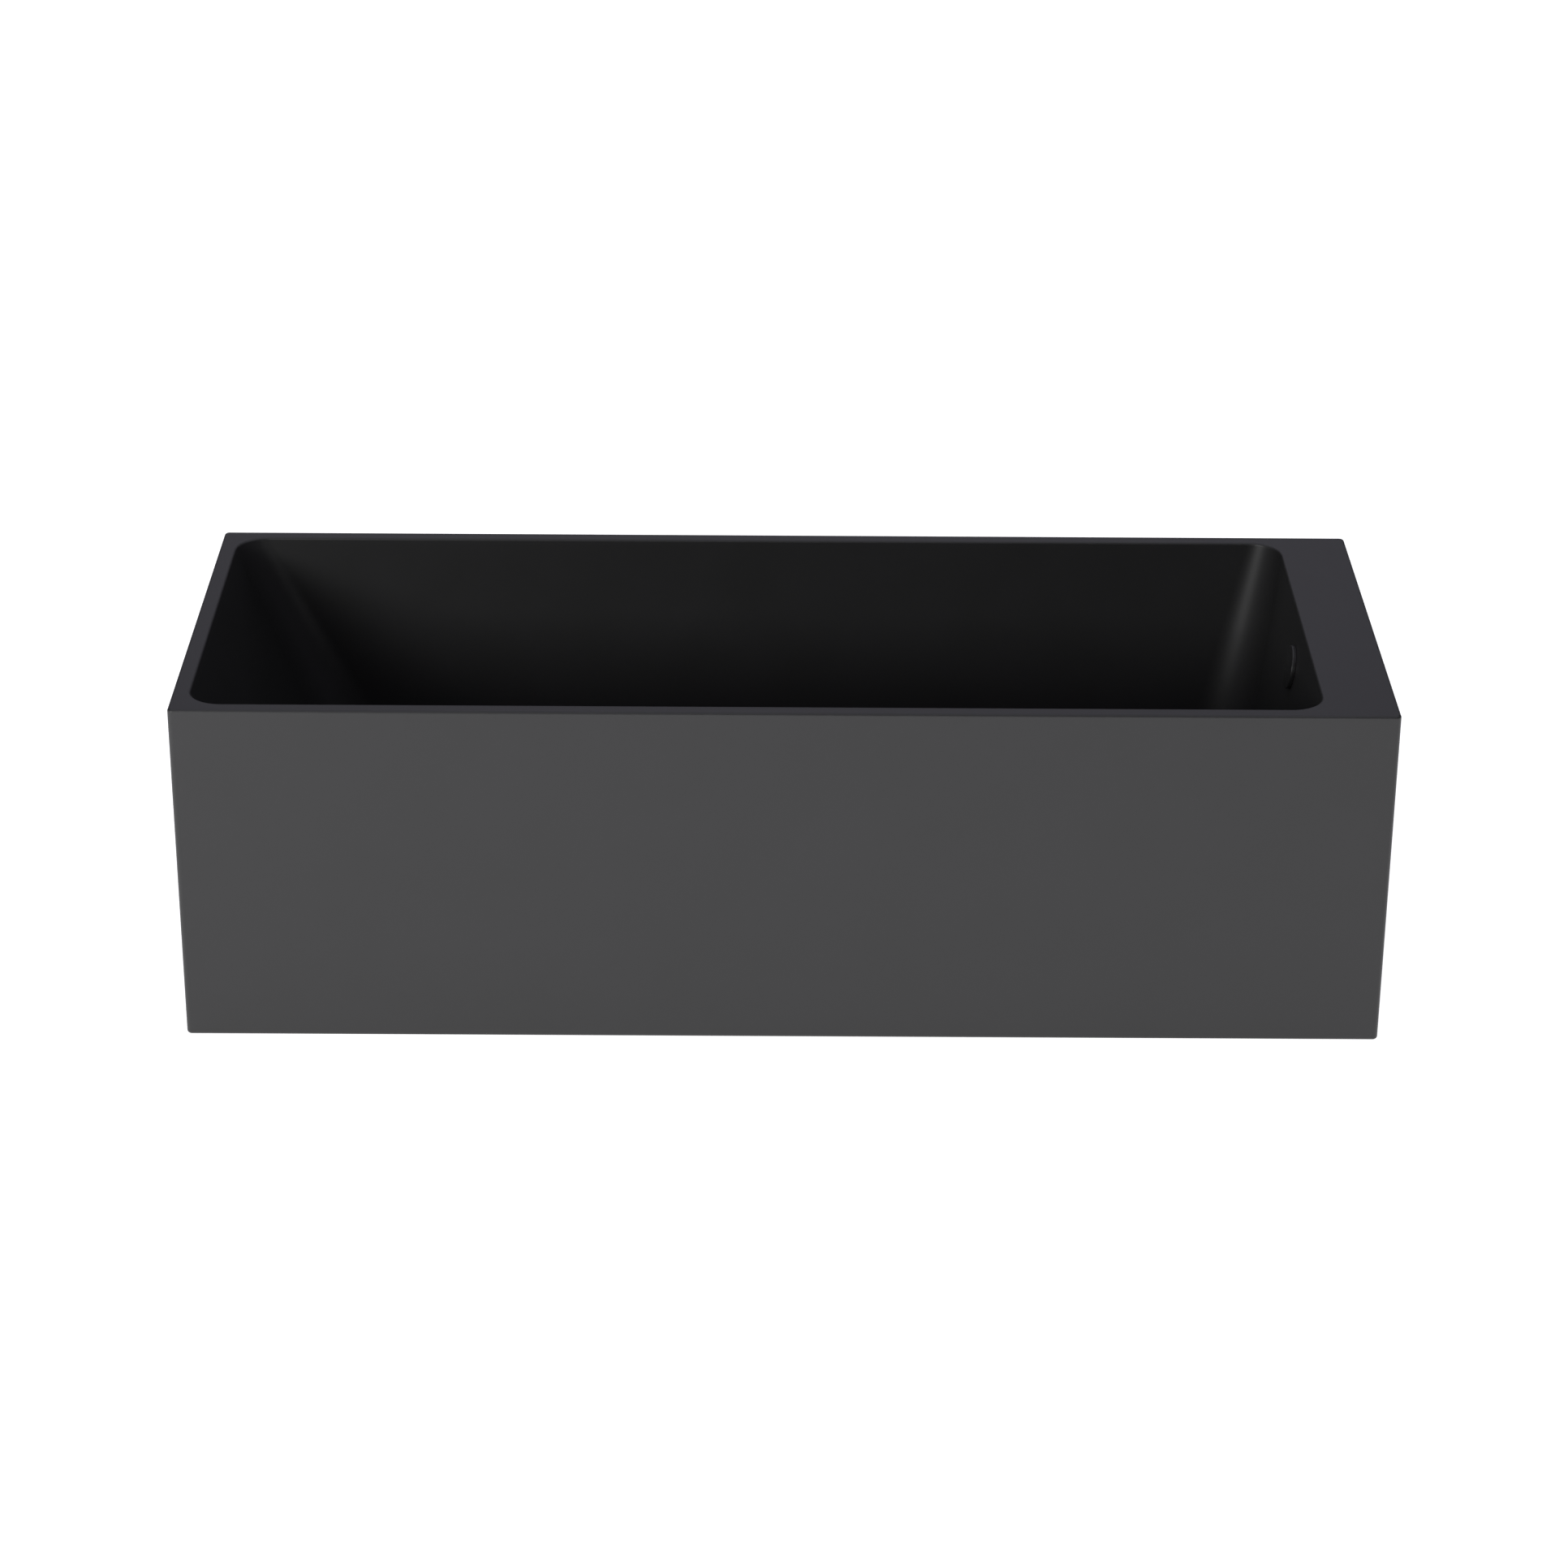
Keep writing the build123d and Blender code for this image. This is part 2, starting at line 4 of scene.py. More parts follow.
import bmesh
import bpy
from mathutils import Matrix, Vector, noise


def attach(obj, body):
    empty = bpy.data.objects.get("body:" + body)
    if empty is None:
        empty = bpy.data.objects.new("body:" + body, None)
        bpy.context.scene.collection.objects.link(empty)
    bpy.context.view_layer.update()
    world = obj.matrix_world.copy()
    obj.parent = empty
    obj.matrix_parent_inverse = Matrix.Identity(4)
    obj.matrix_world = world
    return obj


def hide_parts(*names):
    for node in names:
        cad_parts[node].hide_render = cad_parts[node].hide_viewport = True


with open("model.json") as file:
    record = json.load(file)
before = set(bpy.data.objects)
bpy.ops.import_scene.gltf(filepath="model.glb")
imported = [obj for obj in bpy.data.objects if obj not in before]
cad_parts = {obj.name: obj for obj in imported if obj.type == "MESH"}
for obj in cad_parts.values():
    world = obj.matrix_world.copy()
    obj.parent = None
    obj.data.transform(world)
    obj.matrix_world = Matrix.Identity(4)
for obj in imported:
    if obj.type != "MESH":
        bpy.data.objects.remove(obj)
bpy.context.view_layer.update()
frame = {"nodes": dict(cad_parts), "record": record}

MM = 0.001

# The bath's own sizes, in metres, as the CAD part has them.
LENGTH = 1800 * MM
WIDTH = 700 * MM
HEIGHT = 540 * MM
HALF_LENGTH = LENGTH / 2
HALF_WIDTH = WIDTH / 2
SKIRT_GAP = 3 * MM
RIM = 25 * MM
DECK = 108 * MM
RIM_EDGE_RADIUS = 4 * MM
CAVITY_EDGE_RADIUS = 3.5 * MM
OUTER_CORNER_RADIUS = 8 * MM
CAVITY_DEPTH = 400 * MM
CAVITY_CORNER = 50 * MM
CORNER_GROWTH = 0.12
BACKREST_SLOPE = 0.43
FOOT_END_SLOPE = 0.13
SIDE_SLOPE = 0.09
FLOOR_RADIUS = 85 * MM
FLOOR_FALL = 0.006
ACRYLIC = 5 * MM
LAMINATE = 3 * MM
SKIRT_WALL = 5 * MM
SKIRT_FLANGE = 12 * MM
SKIRT_FOOT_RADIUS = 5 * MM
DRAIN_X = 560 * MM
DRAIN_RECESS = 2 * MM
RECESS_RADIUS = 40 * MM
WASTE_HOLE = 24.5 * MM
OVERFLOW_DROP = 75 * MM
OVERFLOW_HOLE = 20 * MM
FLOOR_Z = HEIGHT - CAVITY_DEPTH

# The boards, the frame and its feet
SAWN_BOARDS = ("deck_board", "floor_board", "rim_batten_front", "rim_batten_back", "rim_batten_left")
BOARD_EDGE = 0.8 * MM
PLY = 1.45 * MM
TUBE = 25 * MM
FRAME_TOP = 117 * MM
RAIL_BOTTOM = FRAME_TOP - TUBE
FOOT_RAILS = {"left": -800 * MM, "middle": 20 * MM, "right": 845 * MM}
PLAIN_RAILS = {"backrest": -400 * MM, "trap": 300 * MM}
SCREW_Y = 150 * MM
FOOT_Y = 285 * MM
SCREW_RADIUS = 2 * MM
SCREW_FLATS = 5.5 * MM
SCREW_FLANGE_RADIUS = 4.5 * MM
STUD_RADIUS = 5 * MM
STUD_TOP = 110 * MM
STUD_CHAMFER = 1.2 * MM
THREAD_PITCH = 1.5 * MM
THREAD_DEPTH = 0.75 * MM
THREAD_RINGS = 6
THREAD_SIDES = 24
NUT_BORE = 5.3 * MM
NUT_FLATS = 17 * MM
WELD_NUT = 8 * MM
LOCK_NUT = 6 * MM
PAD_RADIUS = 20 * MM
PAD_HEIGHT = 12 * MM
PAD_SOLE = 4 * MM
PAD_WEB = 1.6 * MM
PAD_WEBS = 8
COLLAR_RADIUS = 9 * MM
NUT_STEPS = 72
WELD_STEPS = 14
RAIL_WELD = 2.6 * MM
BOTTOM_WELD = 2.0 * MM
NUT_WELD = 1.6 * MM
NUT_WELD_TURN = 34

# The waste and its plug
DRAIN_PAD_RADIUS = 46 * MM
DRAIN_PAD_DROP = 2 * MM
GASKET = 1 * MM
FLANGE = 2.5 * MM
FLANGE_RADIUS = 36 * MM
FLANGE_TAIL = 27 * MM
THROAT_RADIUS = 20.5 * MM
BRIDGE_DROP = 14 * MM
BRIDGE_DEPTH = 6 * MM
FLANGE_TOP = FLOOR_Z - DRAIN_RECESS + GASKET + FLANGE
WASTE_BODY_RADIUS = 28.5 * MM
PLUG_GAP = 0.2 * MM
SEAL = 1.5 * MM
SEAL_RADIUS = 25 * MM
CAP = 5 * MM
CAP_RADIUS = 32 * MM

# The overflow and its hose
OVERFLOW_X = HALF_LENGTH - DECK - FOOT_END_SLOPE * OVERFLOW_DROP
COVER_BASE = 3 * MM
COVER_RIM = 6.5 * MM
COVER_RISE = 1.5 * MM
COVER_RADIUS = 34 * MM
COVER_WALL = 1.5 * MM
COVER_MOUTH = 2.2 * MM
MOUTH_FULL = 34
MOUTH_END = 52
ELBOW_RADIUS = 25 * MM
ELBOW_AXIS = 25 * MM
HOSE_PORT_Z = 100 * MM
HOSE_RADIUS = 12.5 * MM
HOSE_BEND = 60 * MM
HOSE_TOP_GAP = 6 * MM
HOSE_END_GAP = 3 * MM
HOSE_PITCH = 5 * MM
HOSE_RIB = 1.8 * MM
HOSE_CUFF = 12 * MM
HOSE_RINGS = 8
HOSE_SIDES = 40
HOSE_WALL_SHARE = 0.2
HOSE_SHOWN_DEPTH = 8 * MM

# How finely the skins are drawn
CORNER_STEPS = 20
LONG_STEPS = 30
SHORT_STEPS = 12
WALL_STEPS = 24
EDGE_STEPS = 8
FLOOR_STEPS = 18
CIRCLE_STEPS = 96

# The studio
CAMERA_LENS = 94.62
CAMERA_AZIMUTH = -0.154
CAMERA_ELEVATION = 25.25
CAMERA_ROLL = 0.374
CAMERA_DISTANCE = 6.4355
CAMERA_TARGET = (0.8 * MM, 0, 261.5 * MM)
FLOOR_GLOW = 0.90
FLOOR_REACH = 40.0
LAMP_TARGET = (0, 0, 0.3)
LAMPS = (  # name, place, size, watts, colour
    ("front_left", (-3.5, -5.0, 2.2), (2.0, 1.5), 146, (1, 1, 1)),
    ("front_right", (1.0, -5.5, 2.2), (1.5, 1.2), 9, (1, 1, 1)),
    ("left", (-5.0, -0.8, 1.7), (3.5, 1.6), 8, (1, 1, 1)),
    ("back", (0, 5.0, 3.0), (5.0, 2.0), 16, (0.88, 0.86, 1.0)),
)
WORLD_COLOUR = (0.90, 0.89, 1.0)
WORLD_LOW = 0.04
WORLD_OVERHEAD = 0.85
OVERHEAD_START = 0.55
OVERHEAD_END = 0.95


# --- mesh tools --------------------------------------------------------------------------

def make_mesh(name, bm):
    """A mesh with all its faces turned outwards."""
    bmesh.ops.recalc_face_normals(bm, faces=bm.faces)
    mesh = bpy.data.meshes.new(name)
    bm.to_mesh(mesh)
    bm.free()
    return mesh


def make_object(name, data):
    obj = bpy.data.objects.new(name, data)
    bpy.context.scene.collection.objects.link(obj)
    return obj


def make_piece(name, bm):
    return make_object(name, make_mesh(name, bm))


def add_ring(bm, points):
    return [bm.verts.new(p) for p in points]


def bridge(bm, first, second):
    """Quads between two rings of the same count, first to second."""
    count = len(first)
    for i in range(count):
        j = (i + 1) % count
        bm.faces.new((first[i], first[j], second[j], second[i]))


def bridge_all(bm, rings):
    for first, second in zip(rings, rings[1:]):
        bridge(bm, first, second)


def ring_middle(ring):
    return sum((vert.co for vert in ring), Vector()) / len(ring)


def smooth(obj, angle=35):
    """Smooth shading, with edges sharper than the angle kept crisp and flats kept flat."""
    mesh = obj.data
    mesh.shade_smooth()
    bm = bmesh.new()
    bm.from_mesh(mesh)
    limit = math.radians(angle)
    for edge in bm.edges:
        if len(edge.link_faces) == 2 and edge.calc_face_angle() > limit:
            edge.smooth = False
    bm.to_mesh(mesh)
    bm.free()
    weighted = obj.modifiers.new("weighted_normals", "WEIGHTED_NORMAL")
    weighted.mode = "FACE_AREA"
    weighted.keep_sharp = True


def rounded_rectangle(left, right, half_width, radius):
    """Points round a rectangle with round corners, anticlockwise from its +X side."""
    corners = (
        (right - radius, half_width - radius, 0),
        (left + radius, half_width - radius, 90),
        (left + radius, -half_width + radius, 180),
        (right - radius, -half_width + radius, 270),
    )
    arcs = []
    for x, y, start in corners:
        arc = []
        for step in range(CORNER_STEPS + 1):
            turn = math.radians(start + 90 * step / CORNER_STEPS)
            arc.append((x + radius * math.cos(turn), y + radius * math.sin(turn)))
        arcs.append(arc)
    points = []
    for index, arc in enumerate(arcs):
        points += arc
        ahead = arcs[(index + 1) % 4][0]
        steps = LONG_STEPS if index % 2 == 0 else SHORT_STEPS
        for step in range(1, steps):
            share = step / steps
            x = arc[-1][0] + share * (ahead[0] - arc[-1][0])
            y = arc[-1][1] + share * (ahead[1] - arc[-1][1])
            points.append((x, y))
    return points


def outline(inset, z):
    """The tub's outer outline at a height, moved inwards all round."""
    radius = max(OUTER_CORNER_RADIUS - inset, 0.5 * MM)
    flat = rounded_rectangle(-HALF_LENGTH + inset, HALF_LENGTH - inset, HALF_WIDTH - inset, radius)
    return [(x, y, z) for x, y in flat]


# --- turned shapes, nuts and drilled holes -----------------------------------------------

def lathe(bm, profile, place=Matrix(), steps=CIRCLE_STEPS):
    """Turns (radius, height) points round Z; a point on the axis becomes a pole."""
    rings = []
    for radius, height in profile:
        if radius == 0:
            rings.append([bm.verts.new(place @ Vector((0, 0, height)))])
            continue
        points = []
        for step in range(steps):
            turn = 2 * math.pi * step / steps
            points.append(place @ Vector((radius * math.cos(turn), radius * math.sin(turn), height)))
        rings.append(add_ring(bm, points))
    for first, second in zip(rings, rings[1:]):
        if len(first) == 1 or len(second) == 1:
            pole, rim = (first[0], second) if len(first) == 1 else (second[0], first)
            for i in range(steps):
                bm.faces.new((pole, rim[i], rim[(i + 1) % steps]))
        else:
            bridge(bm, first, second)
    return rings


def turned(name, profile, place):
    """One turned piece, closed from axis to axis."""
    bm = bmesh.new()
    lathe(bm, profile, place)
    return make_piece(name, bm)


def rounded(corners, radius, steps=5):
    """A (radius, height) outline with each inner corner rounded."""
    points = [corners[0]]
    for before, corner, after in zip(corners, corners[1:], corners[2:]):
        corner = Vector(corner)
        one = Vector(before) - corner
        two = Vector(after) - corner
        reach = min(radius, 0.45 * one.length, 0.45 * two.length)
        start = corner + reach * one.normalized()
        end = corner + reach * two.normalized()
        for step in range(steps + 1):
            share = step / steps
            near = (1 - share) ** 2 * start + 2 * share * (1 - share) * corner + share ** 2 * end
            points.append(tuple(near))
    return points + [corners[-1]]


def hexagon_ring(bm, x, y, z, flats, limit):
    """A level ring round a hexagon's sides, with its corners turned down to a limit."""
    points = []
    for step in range(NUT_STEPS):
        turn = 2 * math.pi * step / NUT_STEPS
        off_flat = (turn + math.pi / 6) % (math.pi / 3) - math.pi / 6
        reach = min(flats / 2 / math.cos(off_flat), limit)
        points.append((x + reach * math.cos(turn), y + reach * math.sin(turn), z))
    return add_ring(bm, points)


def hexagon_prism(bm, x, y, flats, bottom, top, bore=0.0):
    """A nut or screw head with the curved chamfers that turning leaves on its corners."""
    corner = flats / math.sqrt(3)
    chamfer = 0.35 * (corner - flats / 2) + 0.3 * MM
    levels = [(0.0, 0.93 * flats / 2), (0.5, 0.985 * flats / 2), (1.0, corner)]
    heights = [(bottom + share * chamfer, limit) for share, limit in levels]
    heights += [(top - share * chamfer, limit) for share, limit in reversed(levels)]
    rings = [hexagon_ring(bm, x, y, z, flats, limit) for z, limit in heights]
    bridge_all(bm, rings)
    if bore == 0:
        bm.faces.new(rings[0])
        bm.faces.new(rings[-1])
        return
    sunk = 0.8 * MM
    hole = [(1.12 * bore, top), (bore, top - sunk), (bore, bottom + sunk), (1.12 * bore, bottom)]
    inner = lathe(bm, hole, Matrix.Translation((x, y, 0)), NUT_STEPS)
    bridge(bm, rings[-1], inner[0])
    bridge(bm, inner[-1], rings[0])


def cut_hole(obj, radius, place, reach):
    """Drills a round hole through an object, along the placed Z."""
    cutter = turned("cutter", [(0, -reach), (radius, -reach), (radius, reach), (0, reach)], place)
    drill = obj.modifiers.new("drill", "BOOLEAN")
    drill.operation = "DIFFERENCE"
    drill.solver = "EXACT"
    drill.object = cutter
    graph = bpy.context.evaluated_depsgraph_get()
    cut_mesh = bpy.data.meshes.new_from_object(obj.evaluated_get(graph))
    solid = obj.data
    obj.modifiers.clear()
    obj.data = cut_mesh
    bpy.data.meshes.remove(solid)
    bpy.data.objects.remove(cutter)


def wall_place():
    """The foot-end wall at the overflow: +Z points into the bathing space."""
    out = Vector((-1, 0, FOOT_END_SLOPE)).normalized()
    across = Vector((0, 1, 0))
    turn = Matrix((across, out.cross(across), out)).transposed().to_4x4()
    return Matrix.Translation((OVERFLOW_X, 0, HEIGHT - OVERFLOW_DROP)) @ turn


# --- the bathing space -------------------------------------------------------------------

def wall_line(depth):
    """Where the four walls stand at a depth below the rim: left, right, half width, radius."""
    return (
        -HALF_LENGTH + RIM + BACKREST_SLOPE * depth,
        HALF_LENGTH - DECK - FOOT_END_SLOPE * depth,
        HALF_WIDTH - RIM - SIDE_SLOPE * depth,
        CAVITY_CORNER + CORNER_GROWTH * depth,
    )


def fall_at(x, depth):
    """How much the floor's fall lifts a point, fading to nothing at the rim."""
    return FLOOR_FALL * (DRAIN_X - x) * min(depth / CAVITY_DEPTH, 1.0)


def wall_ring(depth, grow):
    left, right, half_width, radius = wall_line(depth)
    flat = rounded_rectangle(left - grow, right + grow, half_width + grow, radius + grow)
    return [(x, y, HEIGHT - depth + fall_at(x, depth)) for x, y in flat]


def floor_round(slope, share, grow):
    """One wall's rounding into the floor: how far in from the wall's line, and how deep."""
    radius = FLOOR_RADIUS + grow
    bottom = CAVITY_DEPTH + grow
    lean = math.atan(slope)
    turn = lean + share * (math.pi / 2 - lean)
    centre_in = slope * (bottom - radius) + radius / math.cos(lean)
    return centre_in - radius * math.cos(turn), bottom - radius + radius * math.sin(turn)


def floor_ring(share, grow):
    """A ring in the rounding between walls and floor; share runs from wall to floor."""
    left_in, left_depth = floor_round(BACKREST_SLOPE, share, grow)
    right_in, right_depth = floor_round(FOOT_END_SLOPE, share, grow)
    side_in, side_depth = floor_round(SIDE_SLOPE, share, grow)
    top_left, top_right, top_half = wall_line(0)[:3]
    left = top_left - grow + left_in
    right = top_right + grow - right_in
    half_width = top_half + grow - side_in
    rounding_in = side_in - SIDE_SLOPE * side_depth
    radius = CAVITY_CORNER + CORNER_GROWTH * side_depth + grow - rounding_in
    points = []
    for x, y in rounded_rectangle(left, right, half_width, radius):
        end_depth, end = (left_depth, left) if x < (left + right) / 2 else (right_depth, right)
        near_end = 1 - min(abs(x - end) / radius, 1)
        near_side = 1 - min((half_width - abs(y)) / radius, 1)
        total = near_end ** 2 + near_side ** 2
        weight = near_end ** 2 / total if total > 0 else 0.0
        depth = weight * end_depth + (1 - weight) * side_depth
        points.append((x, y, HEIGHT - depth + fall_at(x, depth)))
    return points


def cavity_rings(bm, grow, start):
    """Rings down the bathing space's wall from a depth to the flat of its floor."""
    knee = CAVITY_DEPTH - FLOOR_RADIUS
    rings = []
    for step in range(WALL_STEPS):
        depth = start + (knee - start) * step / WALL_STEPS
        rings.append(add_ring(bm, wall_ring(depth, grow)))
    for step in range(FLOOR_STEPS + 1):
        rings.append(add_ring(bm, floor_ring(step / FLOOR_STEPS, grow)))
    return rings


def circle(radius, z=None, grow=0.0):
    """Points round the waste; with no height they lie on the floor's fall."""
    points = []
    for step in range(CIRCLE_STEPS):
        turn = 2 * math.pi * step / CIRCLE_STEPS
        x = DRAIN_X + radius * math.cos(turn)
        y = radius * math.sin(turn)
        height = FLOOR_Z - grow + fall_at(x, CAVITY_DEPTH) if z is None else z
        points.append((x, y, height))
    return points


def fill_between(bm, first, second):
    """Flat faces between two rings of different counts."""
    edges = []
    for ring in (first, second):
        for i, vert in enumerate(ring):
            pair = (vert, ring[(i + 1) % len(ring)])
            edges.append(bm.edges.get(pair) or bm.edges.new(pair))
    bmesh.ops.triangle_fill(bm, edges=edges, use_beauty=True)


def recess_rings(bm):
    """The round recess in the floor for the waste's flange, with soft edges."""
    soft = 1 * MM
    rings = [add_ring(bm, circle(RECESS_RADIUS + soft))]
    for step in range(1, 5):
        turn = math.radians(90 * step / 4)
        radius = RECESS_RADIUS + soft - soft * math.sin(turn)
        rings.append(add_ring(bm, circle(radius, FLOOR_Z - soft + soft * math.cos(turn))))
    rings.append(add_ring(bm, circle(RECESS_RADIUS - soft, FLOOR_Z - DRAIN_RECESS)))
    rings.append(add_ring(bm, circle(WASTE_HOLE, FLOOR_Z - DRAIN_RECESS)))
    rings.append(add_ring(bm, circle(WASTE_HOLE, grow=ACRYLIC)))
    return rings


# --- the two acrylic skins ---------------------------------------------------------------

def basin_mesh():
    bm = bmesh.new()
    back = cavity_rings(bm, ACRYLIC, ACRYLIC)
    rings = list(reversed(back))
    rings.append(add_ring(bm, outline(0, HEIGHT - ACRYLIC)))
    for step in range(EDGE_STEPS + 1):
        turn = math.radians(90 * step / EDGE_STEPS)
        inset = RIM_EDGE_RADIUS * (1 - math.cos(turn))
        z = HEIGHT - RIM_EDGE_RADIUS * (1 - math.sin(turn))
        rings.append(add_ring(bm, outline(inset, z)))
    for step in range(EDGE_STEPS + 1):
        turn = math.radians(90 * step / EDGE_STEPS)
        grow = CAVITY_EDGE_RADIUS * (1 - math.sin(turn))
        depth = CAVITY_EDGE_RADIUS * (1 - math.cos(turn))
        rings.append(add_ring(bm, wall_ring(depth, grow)))
    front = cavity_rings(bm, 0.0, 3 * CAVITY_EDGE_RADIUS)
    rings += front
    bridge_all(bm, rings)
    recess = recess_rings(bm)
    bridge_all(bm, recess)
    fill_between(bm, front[-1], recess[0])
    fill_between(bm, back[-1], recess[-1])
    return make_piece("basin", bm)


def skirt_mesh():
    bm = bmesh.new()
    top = HEIGHT - ACRYLIC
    rings = [add_ring(bm, outline(0, top))]
    for step in range(1, WALL_STEPS):
        height = top - (top - SKIRT_GAP - SKIRT_FOOT_RADIUS) * step / WALL_STEPS
        rings.append(add_ring(bm, outline(0, height)))
    for step in range(EDGE_STEPS + 1):
        turn = math.radians(90 * step / EDGE_STEPS)
        inset = SKIRT_FOOT_RADIUS * (1 - math.cos(turn))
        height = SKIRT_GAP + SKIRT_FOOT_RADIUS * (1 - math.sin(turn))
        rings.append(add_ring(bm, outline(inset, height)))
    lip = SKIRT_WALL + SKIRT_FLANGE
    rings.append(add_ring(bm, outline(lip, SKIRT_GAP)))
    rings.append(add_ring(bm, outline(lip, SKIRT_GAP + SKIRT_WALL)))
    rings.append(add_ring(bm, outline(SKIRT_WALL, SKIRT_GAP + SKIRT_WALL)))
    rings.append(add_ring(bm, outline(SKIRT_WALL, top)))
    bridge_all(bm, rings)
    bridge(bm, rings[-1], rings[0])
    return make_piece("skirt", bm)


# --- what is under the skins -------------------------------------------------------------

def hand_laid(point, outwards):
    """Moves a point of the laminate a little, as a rolled glass mat's thickness varies."""
    broad = noise.noise(point * 18)
    fine = noise.noise(point * 75 + Vector((7, 3, 1)))
    return point + LAMINATE * (0.14 * broad + 0.10 * fine) * outwards


def laminate_mesh():
    """The glass-fibre coat on the basin's back, its outer face left rough by the roller."""
    bm = bmesh.new()
    inner = cavity_rings(bm, ACRYLIC, ACRYLIC)
    outer = cavity_rings(bm, ACRYLIC + LAMINATE, ACRYLIC)
    for loop in outer[1:]:
        middle = ring_middle(loop)
        for vert in loop:
            vert.co = hand_laid(vert.co, (vert.co - middle).normalized())
    bridge_all(bm, list(reversed(inner)) + outer)
    floor_top = add_ring(bm, circle(WASTE_HOLE, grow=ACRYLIC))
    pad_bottom = FLOOR_Z - ACRYLIC - LAMINATE - DRAIN_PAD_DROP
    pad = [
        add_ring(bm, circle(WASTE_HOLE, pad_bottom)),
        add_ring(bm, circle(DRAIN_PAD_RADIUS - 1 * MM, pad_bottom)),
        add_ring(bm, circle(DRAIN_PAD_RADIUS, pad_bottom + 1 * MM)),
        add_ring(bm, circle(DRAIN_PAD_RADIUS + 4 * MM, grow=ACRYLIC + LAMINATE)),
    ]
    bridge_all(bm, [floor_top] + pad)
    fill_between(bm, inner[-1], floor_top)
    fill_between(bm, outer[-1], pad[-1])
    return make_piece("glass_fibre_laminate", bm)


def thread_radius(turns):
    """How far a thread's surface stands from the axis, a number of turns along it."""
    share = turns % 1.0
    crest = min(max(1.5 - 4 * abs(share - 0.5), 0.0), 1.0)
    return STUD_RADIUS - THREAD_DEPTH * (1 - crest)


def stud_mesh():
    """One levelling foot's threaded stud, round the axis at the origin."""
    bm = bmesh.new()
    count = round((STUD_TOP - PAD_SOLE) / THREAD_PITCH * THREAD_RINGS)
    rings = []
    for index in range(count + 1):
        z = PAD_SOLE + (STUD_TOP - PAD_SOLE) * index / count
        taper = min((STUD_TOP - z) / STUD_CHAMFER, (z - PAD_SOLE) / STUD_CHAMFER, 1.0)
        points = []
        for step in range(THREAD_SIDES):
            share = step / THREAD_SIDES
            radius = thread_radius(z / THREAD_PITCH - share)
            radius = min(radius, STUD_RADIUS - THREAD_DEPTH * (1 - taper))
            turn = 2 * math.pi * share
            points.append((radius * math.cos(turn), radius * math.sin(turn), z))
        rings.append(add_ring(bm, points))
    bridge_all(bm, rings)
    bm.faces.new(rings[0])
    bm.faces.new(rings[-1])
    return make_mesh("threaded_stud", bm)


def pad_web(bm, turn):
    """One of the webs between the pad's plate and its collar."""
    half = PAD_WEB / 2
    side = [
        (COLLAR_RADIUS - 1 * MM, PAD_HEIGHT - 4 * MM),
        (PAD_RADIUS - 3.5 * MM, PAD_HEIGHT - 4 * MM),
        (PAD_RADIUS - 3.5 * MM, PAD_HEIGHT - 2 * MM),
        (COLLAR_RADIUS + 1 * MM, PAD_HEIGHT + 5 * MM),
        (COLLAR_RADIUS - 1 * MM, PAD_HEIGHT + 5 * MM),
    ]
    spin = Matrix.Rotation(turn, 4, "Z")
    near = add_ring(bm, [spin @ Vector((r, -half, z)) for r, z in side])
    far = add_ring(bm, [spin @ Vector((r, half, z)) for r, z in side])
    bridge(bm, near, far)
    bm.faces.new(near)
    bm.faces.new(far)


def pad_mesh():
    """A foot's moulded pad: a stepped sole, a plate, a collar and the webs between them."""
    bm = bmesh.new()
    sole = [
        (0, 0.6 * MM), (11 * MM, 0.6 * MM), (12 * MM, 0), (15 * MM, 0), (16 * MM, 0.6 * MM),
        (17 * MM, 0.6 * MM), (17.6 * MM, 0), (PAD_RADIUS - 1 * MM, 0), (PAD_RADIUS, 1 * MM),
    ]
    upper = [
        (PAD_RADIUS, 1 * MM), (PAD_RADIUS, 4 * MM), (PAD_RADIUS - 0.7 * MM, 4.6 * MM),
        (PAD_RADIUS - 0.7 * MM, 6 * MM), (PAD_RADIUS - 1.2 * MM, PAD_HEIGHT - 3 * MM),
        (PAD_RADIUS - 3 * MM, PAD_HEIGHT - 2 * MM), (COLLAR_RADIUS, PAD_HEIGHT - 2 * MM),
        (COLLAR_RADIUS, PAD_HEIGHT + 8 * MM), (STUD_RADIUS, PAD_HEIGHT + 8 * MM),
        (STUD_RADIUS, PAD_HEIGHT + 6 * MM), (0, PAD_HEIGHT + 6 * MM),
    ]
    lathe(bm, rounded(sole, 0.3 * MM, 2) + rounded(upper, 0.8 * MM, 3)[1:], steps=72)
    for web in range(PAD_WEBS):
        pad_web(bm, 2 * math.pi * (web + 0.5) / PAD_WEBS)
    return make_mesh("foot_pad", bm)


def build_feet(materials):
    """Six feet, each a threaded stud in a ribbed pad, that share two meshes."""
    parts = (
        ("threaded_stud", stud_mesh(), "stud", "zinc_steel"),
        ("ribbed_pad", pad_mesh(), "pad", "foot_plastic"),
    )
    for _, mesh, _, slot in parts:
        mesh.materials.append(materials[slot])
    for place, x in FOOT_RAILS.items():
        for side, y in (("front", -FOOT_Y), ("back", FOOT_Y)):
            foot = f"{side}_{place}"
            for name, mesh, node, slot in parts:
                piece = make_object(f"{name}_{foot}", mesh)
                piece.location = (x, y, 0)
                smooth(piece, 40)
                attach(piece, f"foot_{foot}")
                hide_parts(f"foot_{node}_{foot}")


def nuts_mesh(name, top, height):
    bm = bmesh.new()
    for x in FOOT_RAILS.values():
        for y in (-FOOT_Y, FOOT_Y):
            hexagon_prism(bm, x, y, NUT_FLATS, top - height, top, NUT_BORE)
    return make_piece(name, bm)


